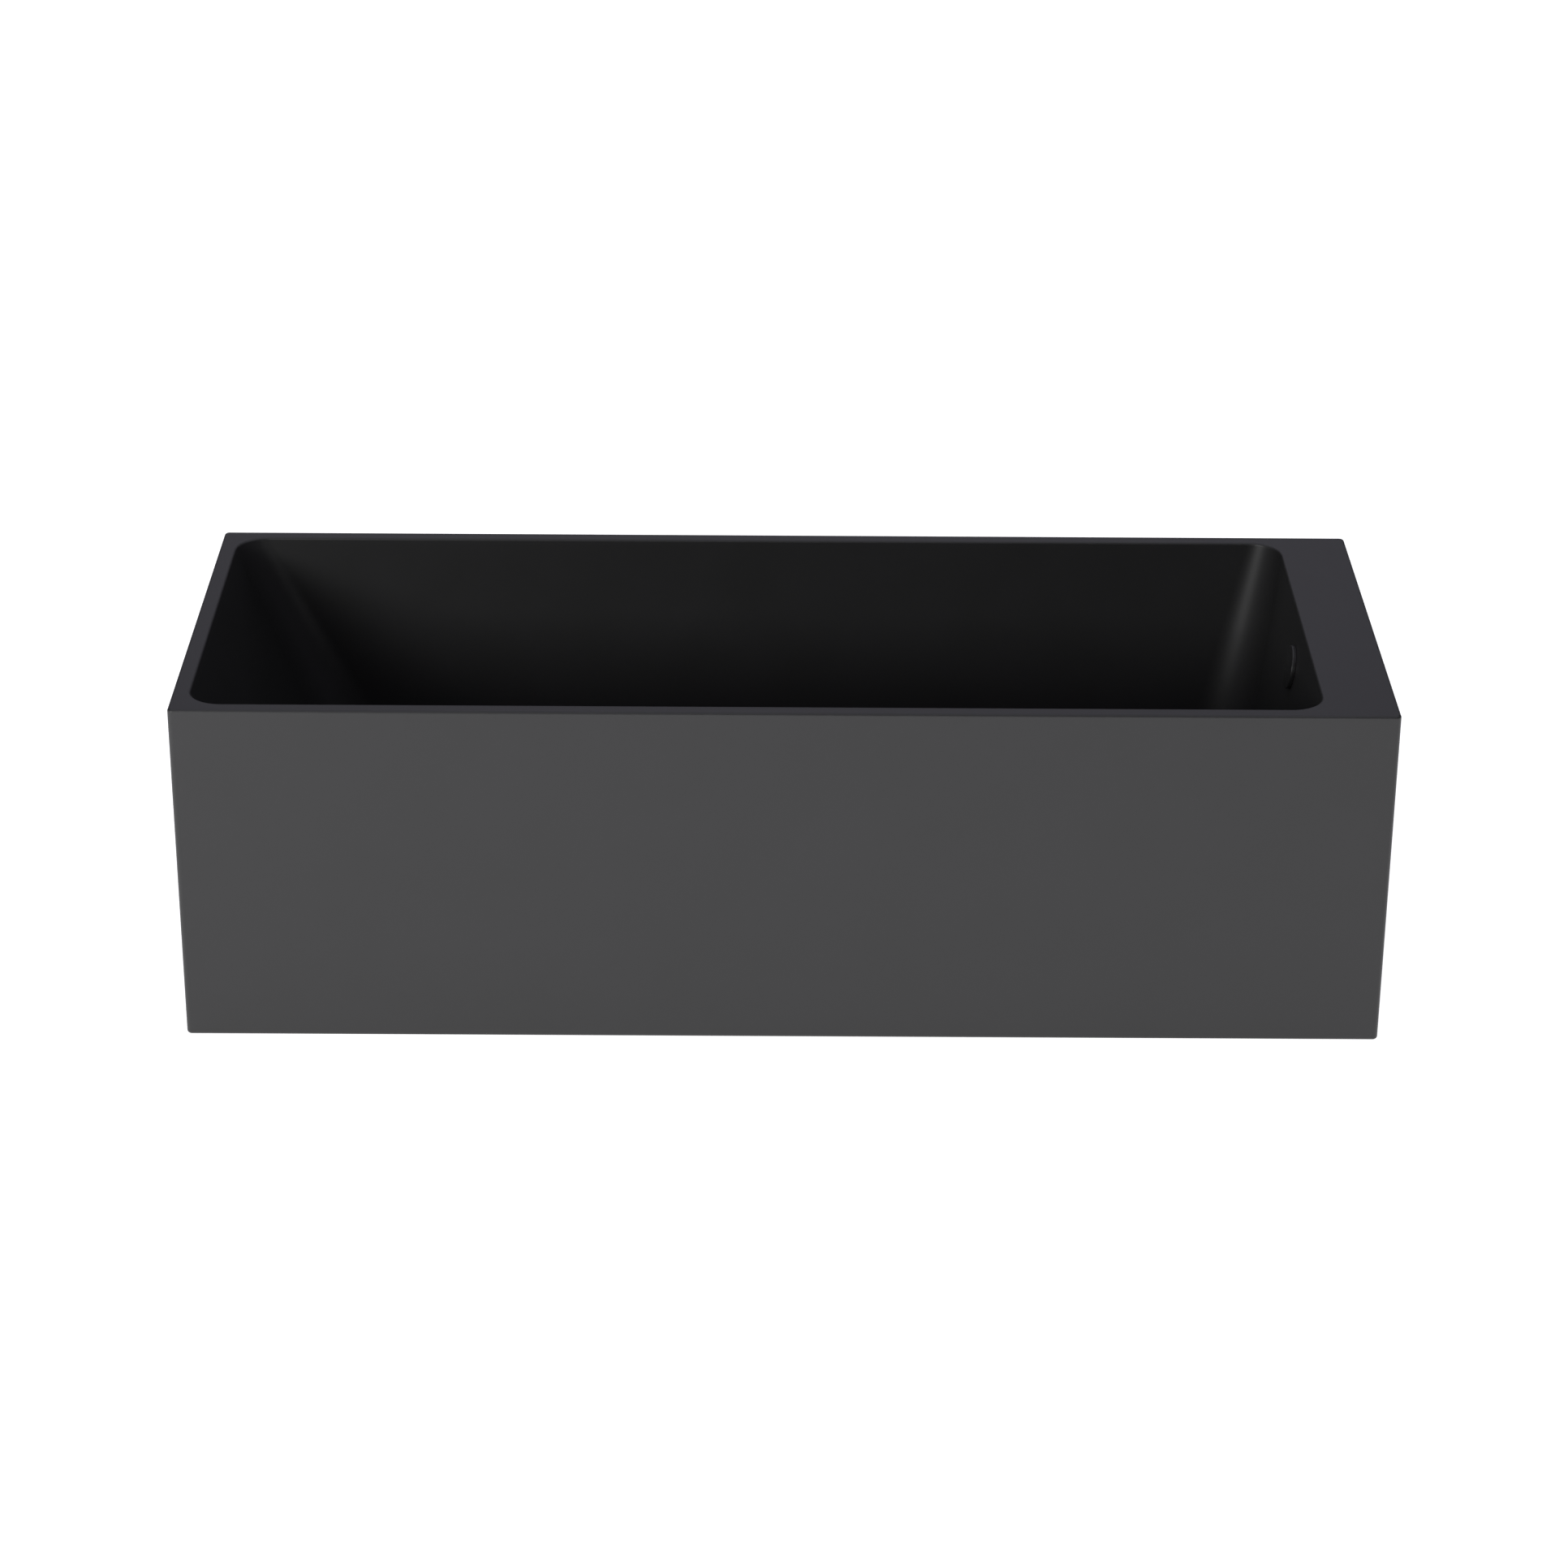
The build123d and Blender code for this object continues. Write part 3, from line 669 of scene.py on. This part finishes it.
def bead(bm, start, end, radius, ripples):
    """A run of weld: a half-sunk rope with a ripple for each drop that was laid."""
    start, end = Vector(start), Vector(end)
    along = (end - start).normalized()
    side = along.orthogonal().normalized()
    other = along.cross(side)
    rings = []
    count = 4 * ripples
    for index in range(count + 1):
        share = index / count
        drop = abs(math.sin(math.pi * share * ripples))
        ends = min(1.0, 6 * share, 6 * (1 - share)) ** 0.5
        size = radius * max(0.15, ends) * (0.82 + 0.18 * drop)
        centre = start.lerp(end, share)
        points = []
        for step in range(WELD_STEPS):
            turn = 2 * math.pi * step / WELD_STEPS
            points.append(centre + size * (math.cos(turn) * side + math.sin(turn) * other))
        rings.append(add_ring(bm, points))
    bridge_all(bm, rings)
    bm.faces.new(rings[0])
    bm.faces.new(rings[-1])


def joint_welds(bm, x, y):
    """Beads up both sides of a cross rail's end, and one under it."""
    for edge in (-TUBE / 2, TUBE / 2):
        low = (x + edge, y, RAIL_BOTTOM + 2.5 * MM)
        high = (x + edge, y, FRAME_TOP - 2.5 * MM)
        bead(bm, low, high, RAIL_WELD, 9)
    bead(bm, (x - 10 * MM, y, RAIL_BOTTOM), (x + 10 * MM, y, RAIL_BOTTOM), BOTTOM_WELD, 9)


def nut_welds(bm, x, y):
    """Six short beads round a nut, where it meets the rail."""
    reach = 0.55 * NUT_FLATS
    for corner in range(6):
        ends = []
        for degrees in (60 * corner, 60 * corner + NUT_WELD_TURN):
            turn = math.radians(degrees)
            ends.append((x + reach * math.cos(turn), y + reach * math.sin(turn), RAIL_BOTTOM))
        bead(bm, *ends, NUT_WELD, 4)


def rail_welds():
    """Fillets where each cross rail meets the long rails, and round the welded nuts."""
    bm = bmesh.new()
    for x in (*FOOT_RAILS.values(), *PLAIN_RAILS.values()):
        for side in (-1, 1):
            joint_welds(bm, x, side * (HALF_WIDTH - SKIRT_WALL - TUBE))
    for x in FOOT_RAILS.values():
        for y in (-FOOT_Y, FOOT_Y):
            nut_welds(bm, x, y)
    return make_piece("frame_welds", bm)


def screws_mesh():
    """Hexagon-headed screws with a pressed flange, up through the rails into the board."""
    bm = bmesh.new()
    flange = [
        (0, -1.1 * MM), (3.2 * MM, -1.1 * MM), (SCREW_FLANGE_RADIUS, -0.5 * MM),
        (SCREW_FLANGE_RADIUS, 0), (SCREW_RADIUS, 0), (SCREW_RADIUS, TUBE + 8 * MM), (0, TUBE + 10 * MM),
    ]
    for x in (PLAIN_RAILS["backrest"], FOOT_RAILS["middle"], PLAIN_RAILS["trap"]):
        for y in (-SCREW_Y, SCREW_Y):
            lathe(bm, flange, Matrix.Translation((x, y, RAIL_BOTTOM)), 48)
            hexagon_prism(bm, x, y, SCREW_FLATS, RAIL_BOTTOM - 2.5 * MM, RAIL_BOTTOM - 0.9 * MM)
    return make_piece("hex_screws", bm)


def hose_line(distance, drop):
    """Point and direction a distance along the hose: down, round the bend, and across."""
    x = OVERFLOW_X + ELBOW_AXIS
    arc = HOSE_BEND * math.pi / 2
    if distance < drop:
        return Vector((x, 0, HOSE_PORT_Z + HOSE_BEND + drop - distance)), Vector((0, 0, -1))
    if distance < drop + arc:
        turn = (distance - drop) / HOSE_BEND
        centre = Vector((x - HOSE_BEND, 0, HOSE_PORT_Z + HOSE_BEND))
        point = centre + HOSE_BEND * Vector((math.cos(turn), 0, -math.sin(turn)))
        return point, Vector((-math.sin(turn), 0, -math.cos(turn)))
    across = distance - drop - arc
    return Vector((x - HOSE_BEND - across, 0, HOSE_PORT_Z)), Vector((-1, 0, 0))


def hose_radius(distance, length):
    """Ribs along the hose, and a plain cuff at each end."""
    if distance < HOSE_CUFF or distance > length - HOSE_CUFF:
        return HOSE_RADIUS
    wave = math.cos(2 * math.pi * distance / HOSE_PITCH)
    crest = 0.5 + 0.5 * max(-1.0, min(1.0, 1.8 * wave))
    return HOSE_RADIUS - HOSE_RIB * (1 - crest)


def hose_mouth(bm, ring, inwards):
    """The wall's end face and the inside as far as the eye can follow it."""
    middle = ring_middle(ring)
    mouth = add_ring(bm, [middle + (1 - HOSE_WALL_SHARE) * (vert.co - middle) for vert in ring])
    bridge(bm, ring, mouth)
    inner = add_ring(bm, [vert.co + HOSE_SHOWN_DEPTH * inwards for vert in mouth])
    bridge(bm, mouth, inner)
    bm.faces.new(inner)


def hose_mesh():
    """The overflow's corrugated hose, from the elbow behind the wall to the waste's port."""
    top = HEIGHT - OVERFLOW_DROP - ELBOW_RADIUS - HOSE_TOP_GAP
    drop = top - HOSE_PORT_Z - HOSE_BEND
    run = OVERFLOW_X + ELBOW_AXIS - HOSE_BEND - (DRAIN_X + WASTE_BODY_RADIUS + HOSE_END_GAP)
    length = drop + HOSE_BEND * math.pi / 2 + run
    bm = bmesh.new()
    rings = []
    count = round(length / HOSE_PITCH * HOSE_RINGS)
    side = Vector((0, 1, 0))
    for index in range(count + 1):
        distance = length * index / count
        point, ahead = hose_line(distance, drop)
        radius = hose_radius(distance, length)
        other = ahead.cross(side)
        points = []
        for step in range(HOSE_SIDES):
            turn = 2 * math.pi * step / HOSE_SIDES
            points.append(point + radius * (math.cos(turn) * side + math.sin(turn) * other))
        rings.append(add_ring(bm, points))
    bridge_all(bm, rings)
    hose_mouth(bm, rings[0], hose_line(0, drop)[1])
    hose_mouth(bm, rings[-1], -hose_line(length, drop)[1])
    return make_piece("corrugated_hose", bm)


# --- waste and overflow trim -------------------------------------------------------------

def cap_piece():
    """The push plug's cap, a slightly domed disc with a soft edge."""
    bottom = FLANGE_TOP + PLUG_GAP + SEAL
    top = bottom + CAP
    dome = [(0, top)]
    for step in range(1, 9):
        share = step / 9
        dome.append((CAP_RADIUS * 0.9 * share, top - 0.6 * MM * share ** 2))
    edge = [
        dome[-1], (CAP_RADIUS - 1 * MM, top - 0.9 * MM), (CAP_RADIUS, top - 2.2 * MM),
        (CAP_RADIUS, bottom + 1 * MM), (CAP_RADIUS - 1 * MM, bottom), (SEAL_RADIUS + 2 * MM, bottom),
        (SEAL_RADIUS + 1 * MM, bottom + 0.6 * MM), (0, bottom + 0.6 * MM),
    ]
    profile = dome[:-1] + rounded(edge, 0.9 * MM, 5)
    return turned("domed_cap", profile, Matrix.Translation((DRAIN_X, 0, 0)))


def flange_piece():
    """The waste's flange, dished towards its throat, with the tail that clamps the cup."""
    bottom = FLANGE_TOP - FLANGE
    tail = bottom - FLANGE_TAIL
    tail_radius = WASTE_HOLE - 0.5 * MM
    profile = [
        (THROAT_RADIUS, tail), (THROAT_RADIUS, FLANGE_TOP - 3.2 * MM),
        (THROAT_RADIUS + 2.2 * MM, FLANGE_TOP - 1.3 * MM),
        (SEAL_RADIUS + 2 * MM, FLANGE_TOP - 0.3 * MM), (SEAL_RADIUS + 4 * MM, FLANGE_TOP),
        (FLANGE_RADIUS - 2 * MM, FLANGE_TOP - 0.1 * MM), (FLANGE_RADIUS, FLANGE_TOP - 1.4 * MM),
        (FLANGE_RADIUS, bottom), (tail_radius, bottom), (tail_radius, tail), (THROAT_RADIUS, tail),
    ]
    place = Matrix.Translation((DRAIN_X, 0, 0))
    bm = bmesh.new()
    rings = lathe(bm, rounded(profile, 0.8 * MM, 4)[:-1], place)
    bridge(bm, rings[-1], rings[0])
    bridge_top = FLANGE_TOP - BRIDGE_DROP
    hub = [(7 * MM, bridge_top - BRIDGE_DEPTH), (7 * MM, bridge_top),
           (10 * MM, bridge_top), (10 * MM, bridge_top - BRIDGE_DEPTH)]
    hub_rings = lathe(bm, hub, place, 48)
    bridge(bm, hub_rings[-1], hub_rings[0])
    for degrees in (0, 120, 240):
        spoke(bm, math.radians(degrees), bridge_top)
    return make_piece("dished_flange", bm)


def spoke(bm, turn, top):
    """One arm of the bridge that carries the plug's cartridge, thinner at its foot."""
    place = Matrix.Translation((DRAIN_X, 0, 0)) @ Matrix.Rotation(turn, 4, "Z")
    wide = 1.5 * MM
    narrow = 1.0 * MM
    section = [(-wide, 0), (wide, 0), (narrow, -BRIDGE_DEPTH), (-narrow, -BRIDGE_DEPTH)]
    ends = []
    for radius in (9 * MM, THROAT_RADIUS + 1 * MM):
        ends.append(add_ring(bm, [place @ Vector((radius, y, top + z)) for y, z in section]))
    bridge(bm, *ends)
    bm.faces.new(ends[0])
    bm.faces.new(ends[1])


def mouth_at(turn):
    """How far the cover's edge is lifted at a turn: fully at its foot, not at all elsewhere."""
    full = math.cos(math.radians(MOUTH_FULL))
    end = math.cos(math.radians(MOUTH_END))
    share = min(max((math.sin(turn) - end) / (full - end), 0.0), 1.0)
    return share * share * (3 - 2 * share)


def cover_piece():
    """The overflow's rosette: a shallow dome whose lower edge lifts to let the water in."""
    top = COVER_RIM + COVER_RISE
    dome = [(0, top)]
    for step in range(1, 10):
        share = step / 10
        dome.append((COVER_RADIUS * share, COVER_RIM + COVER_RISE * (1 - share ** 2)))
    edge = [
        dome[-1], (COVER_RADIUS - 0.6 * MM, COVER_RIM), (COVER_RADIUS, COVER_BASE),
        (COVER_RADIUS - COVER_WALL, COVER_BASE),
        (COVER_RADIUS - 1.3 * COVER_WALL, COVER_RIM - COVER_WALL), (0, top - COVER_WALL),
    ]
    bm = bmesh.new()
    lathe(bm, dome[:-1] + rounded(edge, 1.2 * MM, 5))
    place = wall_place()
    for vert in bm.verts:
        if vert.co.xy.length > COVER_RADIUS - 2 * COVER_WALL:
            low = min(max((COVER_RIM - vert.co.z) / (COVER_RIM - COVER_BASE), 0.0), 1.0)
            vert.co.z += COVER_MOUTH * low * mouth_at(math.atan2(vert.co.y, vert.co.x))
        vert.co = place @ vert.co
    return make_piece("domed_cover", bm)


# --- materials ---------------------------------------------------------------------------
# Texture scales are in cells per metre. Colours are linear, the darker one first.

def new_material(name, roughness, metallic=0.0):
    material = bpy.data.materials.new(name)
    material.use_nodes = True
    shader = material.node_tree.nodes["Principled BSDF"]
    shader.inputs["Roughness"].default_value = roughness
    shader.inputs["Metallic"].default_value = metallic
    return material


def add(material, kind, **values):
    """A node in a material or a world, with its properties and its inputs set by name."""
    node = material.node_tree.nodes.new(kind)
    for name, value in values.items():
        socket = node.inputs.get(name.replace("_", " ").title())
        if socket is None:
            setattr(node, name, value)
        else:
            socket.default_value = value
    return node


def join(material, output, target):
    material.node_tree.links.new(output, target)


def drive(material, name, output):
    """Feeds a texture to one of the shader's inputs."""
    shader = material.node_tree.nodes["Principled BSDF"]
    join(material, output, shader.inputs[name])


def place_on(material, scale=(1, 1, 1), rotation=(0, 0, 0)):
    """Object coordinates in metres, turned and stretched."""
    coordinates = add(material, "ShaderNodeTexCoord")
    mapping = add(material, "ShaderNodeMapping", scale=scale, rotation=rotation)
    join(material, coordinates.outputs["Object"], mapping.inputs["Vector"])
    return mapping.outputs["Vector"]


def cloud(material, place, scale, detail=3.0, roughness=0.5):
    texture = add(material, "ShaderNodeTexNoise", scale=scale, detail=detail, roughness=roughness)
    join(material, place, texture.inputs["Vector"])
    return texture.outputs["Fac"]


def cells(material, place, scale, output="Distance"):
    texture = add(material, "ShaderNodeTexVoronoi", scale=scale)
    join(material, place, texture.inputs["Vector"])
    return texture.outputs[output]


def spread(material, value, low, high, start=0.3, end=0.7):
    """A texture's middle range carried to another range."""
    node = add(material, "ShaderNodeMapRange")
    join(material, value, node.inputs["Value"])
    for name, number in (("From Min", start), ("From Max", end), ("To Min", low), ("To Max", high)):
        node.inputs[name].default_value = number
    return node.outputs["Result"]


def mixed(material, share, dark, light):
    """A colour between two, by a texture."""
    ramp = add(material, "ShaderNodeValToRGB")
    ramp.color_ramp.elements[0].position = 0.3
    ramp.color_ramp.elements[1].position = 0.7
    ramp.color_ramp.elements[0].color = (*dark, 1)
    ramp.color_ramp.elements[1].color = (*light, 1)
    join(material, share, ramp.inputs["Fac"])
    return ramp.outputs["Color"]


def maths(material, operation, first, second):
    node = add(material, "ShaderNodeMath", operation=operation)
    for socket, value in zip(node.inputs, (first, second)):
        if isinstance(value, (int, float)):
            socket.default_value = value
        else:
            join(material, value, socket)
    return node.outputs["Value"]


def relief(material, *layers):
    """Bump from (texture, height in metres, strength) layers, the broadest first."""
    normal = None
    for height, distance, strength in layers:
        bump = add(material, "ShaderNodeBump", distance=distance, strength=strength)
        join(material, height, bump.inputs["Height"])
        if normal is not None:
            join(material, normal, bump.inputs["Normal"])
        normal = bump.outputs["Normal"]
    drive(material, "Normal", normal)


def acrylic():
    """Matte black acrylic: a fine pebble and the slow waves and patches of a formed sheet."""
    material = new_material("matte_black_acrylic", 0.42)
    place = place_on(material)
    patches = cloud(material, place, 9, 3)
    pebble = cells(material, place, 1100)
    drive(material, "Base Color", mixed(material, patches, (0.0158,) * 3, (0.0174, 0.0173, 0.0178)))
    drive(material, "Roughness", maths(material, "ADD", spread(material, patches, 0.400, 0.414),
                                       spread(material, pebble, -0.008, 0.008, 0.1, 0.6)))
    waves = cloud(material, place, 4, 1)
    relief(material, (waves, 0.6 * MM, 0.05), (pebble, 0.05 * MM, 0.35))
    return material


def laminate():
    """Chopped glass strand in resin: short pale fibres lying every way, darker where it is thin."""
    material = new_material("glass_fibre_laminate", 0.45)
    strands = None
    for turn in range(5):
        rotation = (0.7 * turn + 0.2, 1.3 * turn + 0.5, 2.1 * turn)
        place = place_on(material, (70, 760, 760), rotation)
        fibres = cloud(material, place, 1, 2)
        strands = fibres if strands is None else maths(material, "MAXIMUM", strands, fibres)
    wet = cloud(material, place_on(material), 14, 4)
    share = maths(material, "MULTIPLY", spread(material, strands, 0.3, 1.0, 0.52, 0.72),
                  spread(material, wet, 0.55, 1.0))
    drive(material, "Base Color", mixed(material, share, (0.12, 0.115, 0.09), (0.46, 0.44, 0.36)))
    drive(material, "Roughness", spread(material, wet, 0.32, 0.6))
    relief(material, (wet, 0.8 * MM, 0.5), (strands, 0.35 * MM, 0.6))
    return material


def plywood():
    """Birch ply: long grain on the faces and the plies' stripes on the edges."""
    material = new_material("birch_plywood", 0.62)
    grain = cloud(material, place_on(material, (5, 95, 95)), 1, 6, 0.6)
    figure = cloud(material, place_on(material, (2.2, 22, 22)), 1, 2)
    face = mixed(material, maths(material, "ADD", maths(material, "MULTIPLY", grain, 0.6),
                                 maths(material, "MULTIPLY", figure, 0.4)),
                 (0.40, 0.26, 0.13), (0.66, 0.49, 0.30))
    position = add(material, "ShaderNodeSeparateXYZ")
    join(material, place_on(material), position.inputs["Vector"])
    stripes = maths(material, "PINGPONG", position.outputs["Z"], PLY)
    edge = mixed(material, spread(material, stripes, 0, 1, 0.3 * PLY, 0.7 * PLY),
                 (0.24, 0.14, 0.07), (0.55, 0.38, 0.21))
    facing = add(material, "ShaderNodeSeparateXYZ")
    geometry = add(material, "ShaderNodeNewGeometry")
    join(material, geometry.outputs["Normal"], facing.inputs["Vector"])
    flat = maths(material, "ABSOLUTE", facing.outputs["Z"], 0)
    blend = add(material, "ShaderNodeMix", data_type="RGBA")
    join(material, spread(material, flat, 0, 1, 0.4, 0.6), blend.inputs[0])
    join(material, edge, blend.inputs[6])
    join(material, face, blend.inputs[7])
    drive(material, "Base Color", blend.outputs[2])
    drive(material, "Roughness", spread(material, grain, 0.55, 0.7))
    relief(material, (grain, 0.3 * MM, 0.5))
    return material


def metal(name, dark, light, rough, spangle, polish):
    """Plated or bare metal: crystals and stains in the coat, and fine scratches along X."""
    material = new_material(name, rough, 1.0)
    place = place_on(material)
    crystals = cells(material, place, spangle, "Color")
    crystal = add(material, "ShaderNodeSeparateColor")
    join(material, crystals, crystal.inputs["Color"])
    stains = cloud(material, place, 30, 4)
    share = maths(material, "ADD", maths(material, "MULTIPLY", crystal.outputs["Red"], 0.5),
                  maths(material, "MULTIPLY", stains, 0.5))
    drive(material, "Base Color", mixed(material, share, dark, light))
    scratches = cloud(material, place_on(material, (40, 2200, 2200)), 1, 2)
    drive(material, "Roughness", maths(material, "ADD",
                                       spread(material, share, rough - polish, rough + polish),
                                       spread(material, scratches, -0.04, 0.04)))
    relief(material, (stains, 0.3 * MM, 0.15), (scratches, 0.04 * MM, 0.4))
    return material


def moulded(name, dark, light, rough, grain, depth, dust=0.0):
    """Moulded plastic or rubber: spark-eroded grain, flow shading and a little dust."""
    material = new_material(name, rough)
    place = place_on(material)
    flow = cloud(material, place_on(material, (20, 20, 60)), 1, 4)
    specks = cells(material, place, grain)
    settled = spread(material, cloud(material, place, 55, 6, 0.65), 0, dust, 0.5, 0.75)
    share = maths(material, "ADD", flow, settled)
    drive(material, "Base Color", mixed(material, share, dark, light))
    shine = spread(material, flow, rough - 0.05, rough + 0.05)
    drive(material, "Roughness", maths(material, "ADD", shine, settled))
    relief(material, (flow, 0.3 * MM, 0.12), (specks, depth, 0.5))
    return material


def pipe_plastic():
    """White waste-pipe plastic, a little of the light sinking into it."""
    material = moulded("pipe_plastic", (0.58, 0.58, 0.56), (0.74, 0.74, 0.71),
                       rough=0.36, grain=700, depth=0.04 * MM, dust=0.1)
    shader = material.node_tree.nodes["Principled BSDF"]
    shader.inputs["Subsurface Weight"].default_value = 0.08
    shader.inputs["Subsurface Radius"].default_value = (0.004, 0.004, 0.003)
    return material


def all_materials():
    """Every material, under the name of the record's slot that it finishes."""
    return {
        "acrylic": acrylic(),
        "laminate": laminate(),
        "plywood": plywood(),
        "galvanised_tube": metal("galvanised_steel", (0.44, 0.46, 0.48), (0.56, 0.575, 0.585),
                                 rough=0.40, spangle=300, polish=0.05),
        "zinc_steel": metal("zinc_plated_steel", (0.52, 0.51, 0.47), (0.72, 0.73, 0.74),
                            rough=0.30, spangle=420, polish=0.06),
        "foot_plastic": moulded("foot_plastic", (0.018,) * 3, (0.034,) * 3,
                                rough=0.5, grain=900, depth=0.06 * MM, dust=0.12),
        "black_trim": moulded("black_coated_metal", (0.011,) * 3, (0.015,) * 3,
                              rough=0.46, grain=1500, depth=0.03 * MM),
        "brass": metal("turned_brass", (0.62, 0.42, 0.17), (0.80, 0.59, 0.28),
                       rough=0.26, spangle=300, polish=0.05),
        "rubber": moulded("black_rubber", (0.016,) * 3, (0.038,) * 3,
                          rough=0.7, grain=1300, depth=0.05 * MM, dust=0.2),
        "pipe_plastic": pipe_plastic(),
        "nut_plastic": moulded("nut_plastic", (0.50, 0.50, 0.49), (0.66, 0.66, 0.64),
                               rough=0.42, grain=900, depth=0.06 * MM, dust=0.1),
    }


def paint(obj, material):
    obj.data.materials.clear()
    obj.data.materials.append(material)


def paint_cad(materials):
    """Gives each CAD node the material of its own slot in the record."""
    slot_of = {part["node"]: part["material_slot"] for part in frame["record"]["subparts"]}
    for node, obj in frame["nodes"].items():
        for slot in obj.material_slots:
            slot.material = materials[slot_of[node]]


def ease_boards():
    """Softens the sawn edges of the plywood boards and battens."""
    for node in SAWN_BOARDS:
        board = frame["nodes"][node]
        weld = board.modifiers.new("weld", "WELD")
        weld.merge_threshold = 0.01 * MM
        edge = board.modifiers.new("eased_edges", "BEVEL")
        edge.width = BOARD_EDGE
        edge.segments = 3
        edge.limit_method = "ANGLE"
        edge.angle_limit = math.radians(40)


# --- stage, light and camera -------------------------------------------------------------

def build_floor():
    """A pale glowing floor that can be seen through from below."""
    reach = FLOOR_REACH
    corners = [(-reach, -reach, 0), (reach, -reach, 0), (reach, reach, 0), (-reach, reach, 0)]
    mesh = bpy.data.meshes.new("studio_floor")
    mesh.from_pydata(corners, [], [(0, 1, 2, 3)])
    floor = make_object("studio_floor", mesh)
    material = new_material("studio_white", 0.9)
    shader = material.node_tree.nodes["Principled BSDF"]
    shader.inputs["Base Color"].default_value = (0.8, 0.8, 0.8, 1)
    shader.inputs["Emission Color"].default_value = (1, 1, 1, 1)
    shader.inputs["Emission Strength"].default_value = FLOOR_GLOW
    clear = add(material, "ShaderNodeBsdfTransparent")
    side = add(material, "ShaderNodeNewGeometry")
    either = add(material, "ShaderNodeMixShader")
    join(material, side.outputs["Backfacing"], either.inputs[0])
    join(material, shader.outputs["BSDF"], either.inputs[1])
    join(material, clear.outputs["BSDF"], either.inputs[2])
    output = material.node_tree.nodes["Material Output"]
    join(material, either.outputs["Shader"], output.inputs["Surface"])
    paint(floor, material)


def area_light(name, location, size, energy, colour):
    """A soft lamp aimed at the tub."""
    data = bpy.data.lights.new(name, "AREA")
    data.shape = "RECTANGLE"
    data.size, data.size_y = size
    data.energy = energy
    data.color = colour
    light = make_object(name, data)
    light.location = location
    aim = Vector(LAMP_TARGET) - Vector(location)
    light.rotation_euler = aim.to_track_quat("-Z", "Y").to_euler()


def build_world():
    """A white room: dim light from all round, more from overhead, and plain white to the camera."""
    world = bpy.data.worlds.new("studio")
    bpy.context.scene.world = world
    world.use_nodes = True
    light = world.node_tree.nodes["Background"]
    light.inputs["Color"].default_value = (*WORLD_COLOUR, 1)
    sky = add(world, "ShaderNodeTexCoord")
    axes = add(world, "ShaderNodeSeparateXYZ")
    join(world, sky.outputs["Generated"], axes.inputs["Vector"])
    upwards = axes.outputs["Z"]
    strength = spread(world, upwards, WORLD_LOW, WORLD_OVERHEAD, OVERHEAD_START, OVERHEAD_END)
    join(world, strength, light.inputs["Strength"])
    plain = add(world, "ShaderNodeBackground", strength=1.0)
    plain.inputs["Color"].default_value = (1, 1, 1, 1)
    either = add(world, "ShaderNodeMixShader")
    join(world, add(world, "ShaderNodeLightPath").outputs["Is Camera Ray"], either.inputs[0])
    join(world, light.outputs["Background"], either.inputs[1])
    join(world, plain.outputs["Background"], either.inputs[2])
    join(world, either.outputs["Shader"], world.node_tree.nodes["World Output"].inputs["Surface"])


def build_camera():
    """A long lens in front of the tub, aimed close to its middle and rolled a little."""
    data = bpy.data.cameras.new("camera")
    data.sensor_width = 36
    data.lens = CAMERA_LENS
    data.clip_end = 100
    camera = make_object("camera", data)
    turn = (
        Matrix.Rotation(math.radians(CAMERA_AZIMUTH), 4, "Z")
        @ Matrix.Rotation(math.radians(90 - CAMERA_ELEVATION), 4, "X")
        @ Matrix.Rotation(math.radians(CAMERA_ROLL), 4, "Z")
    )
    back_off = Matrix.Translation((0, 0, CAMERA_DISTANCE))
    camera.matrix_world = Matrix.Translation(CAMERA_TARGET) @ turn @ back_off
    bpy.context.scene.camera = camera


def build_stage():
    build_camera()
    build_floor()
    build_world()
    for lamp in LAMPS:
        area_light(*lamp)
    bpy.context.scene.view_settings.view_transform = "Standard"


# --- put it together ---------------------------------------------------------------------

def place_piece(materials, piece, slot, *nodes, body="tub"):
    """Paints a piece with its slot's material, shades it, attaches it to its body and hides the CAD
    nodes it stands for.
    """
    paint(piece, materials[slot])
    smooth(piece)
    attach(piece, body)
    if nodes:
        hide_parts(*nodes)


def drilled(piece):
    """A skin with the overflow's hole through its foot-end wall."""
    cut_hole(piece, OVERFLOW_HOLE, wall_place(), reach=30 * MM)
    return piece


def build_pieces(materials):
    """Every piece but the feet; the weld beads stand for no node."""
    place_piece(materials, drilled(basin_mesh()), "acrylic", "basin_shell")
    place_piece(materials, skirt_mesh(), "acrylic", "outer_shell")
    place_piece(materials, drilled(laminate_mesh()), "laminate", "basin_laminate")
    place_piece(materials, hose_mesh(), "pipe_plastic", "overflow_hose")
    weld_nuts = nuts_mesh("weld_nuts", RAIL_BOTTOM, WELD_NUT)
    place_piece(materials, weld_nuts, "zinc_steel", "foot_weld_nuts")
    lock_nuts = nuts_mesh("lock_nuts", RAIL_BOTTOM - WELD_NUT, LOCK_NUT)
    place_piece(materials, lock_nuts, "zinc_steel", "foot_lock_nuts")
    place_piece(materials, screws_mesh(), "zinc_steel", "board_screws")
    place_piece(materials, rail_welds(), "galvanised_tube")
    place_piece(materials, flange_piece(), "black_trim", "waste_flange")
    place_piece(materials, cap_piece(), "black_trim", "plug_cap", body="plug")
    place_piece(materials, cover_piece(), "black_trim", "overflow_cover")


build_stage()
finishes = all_materials()
paint_cad(finishes)
ease_boards()
build_pieces(finishes)
build_feet(finishes)
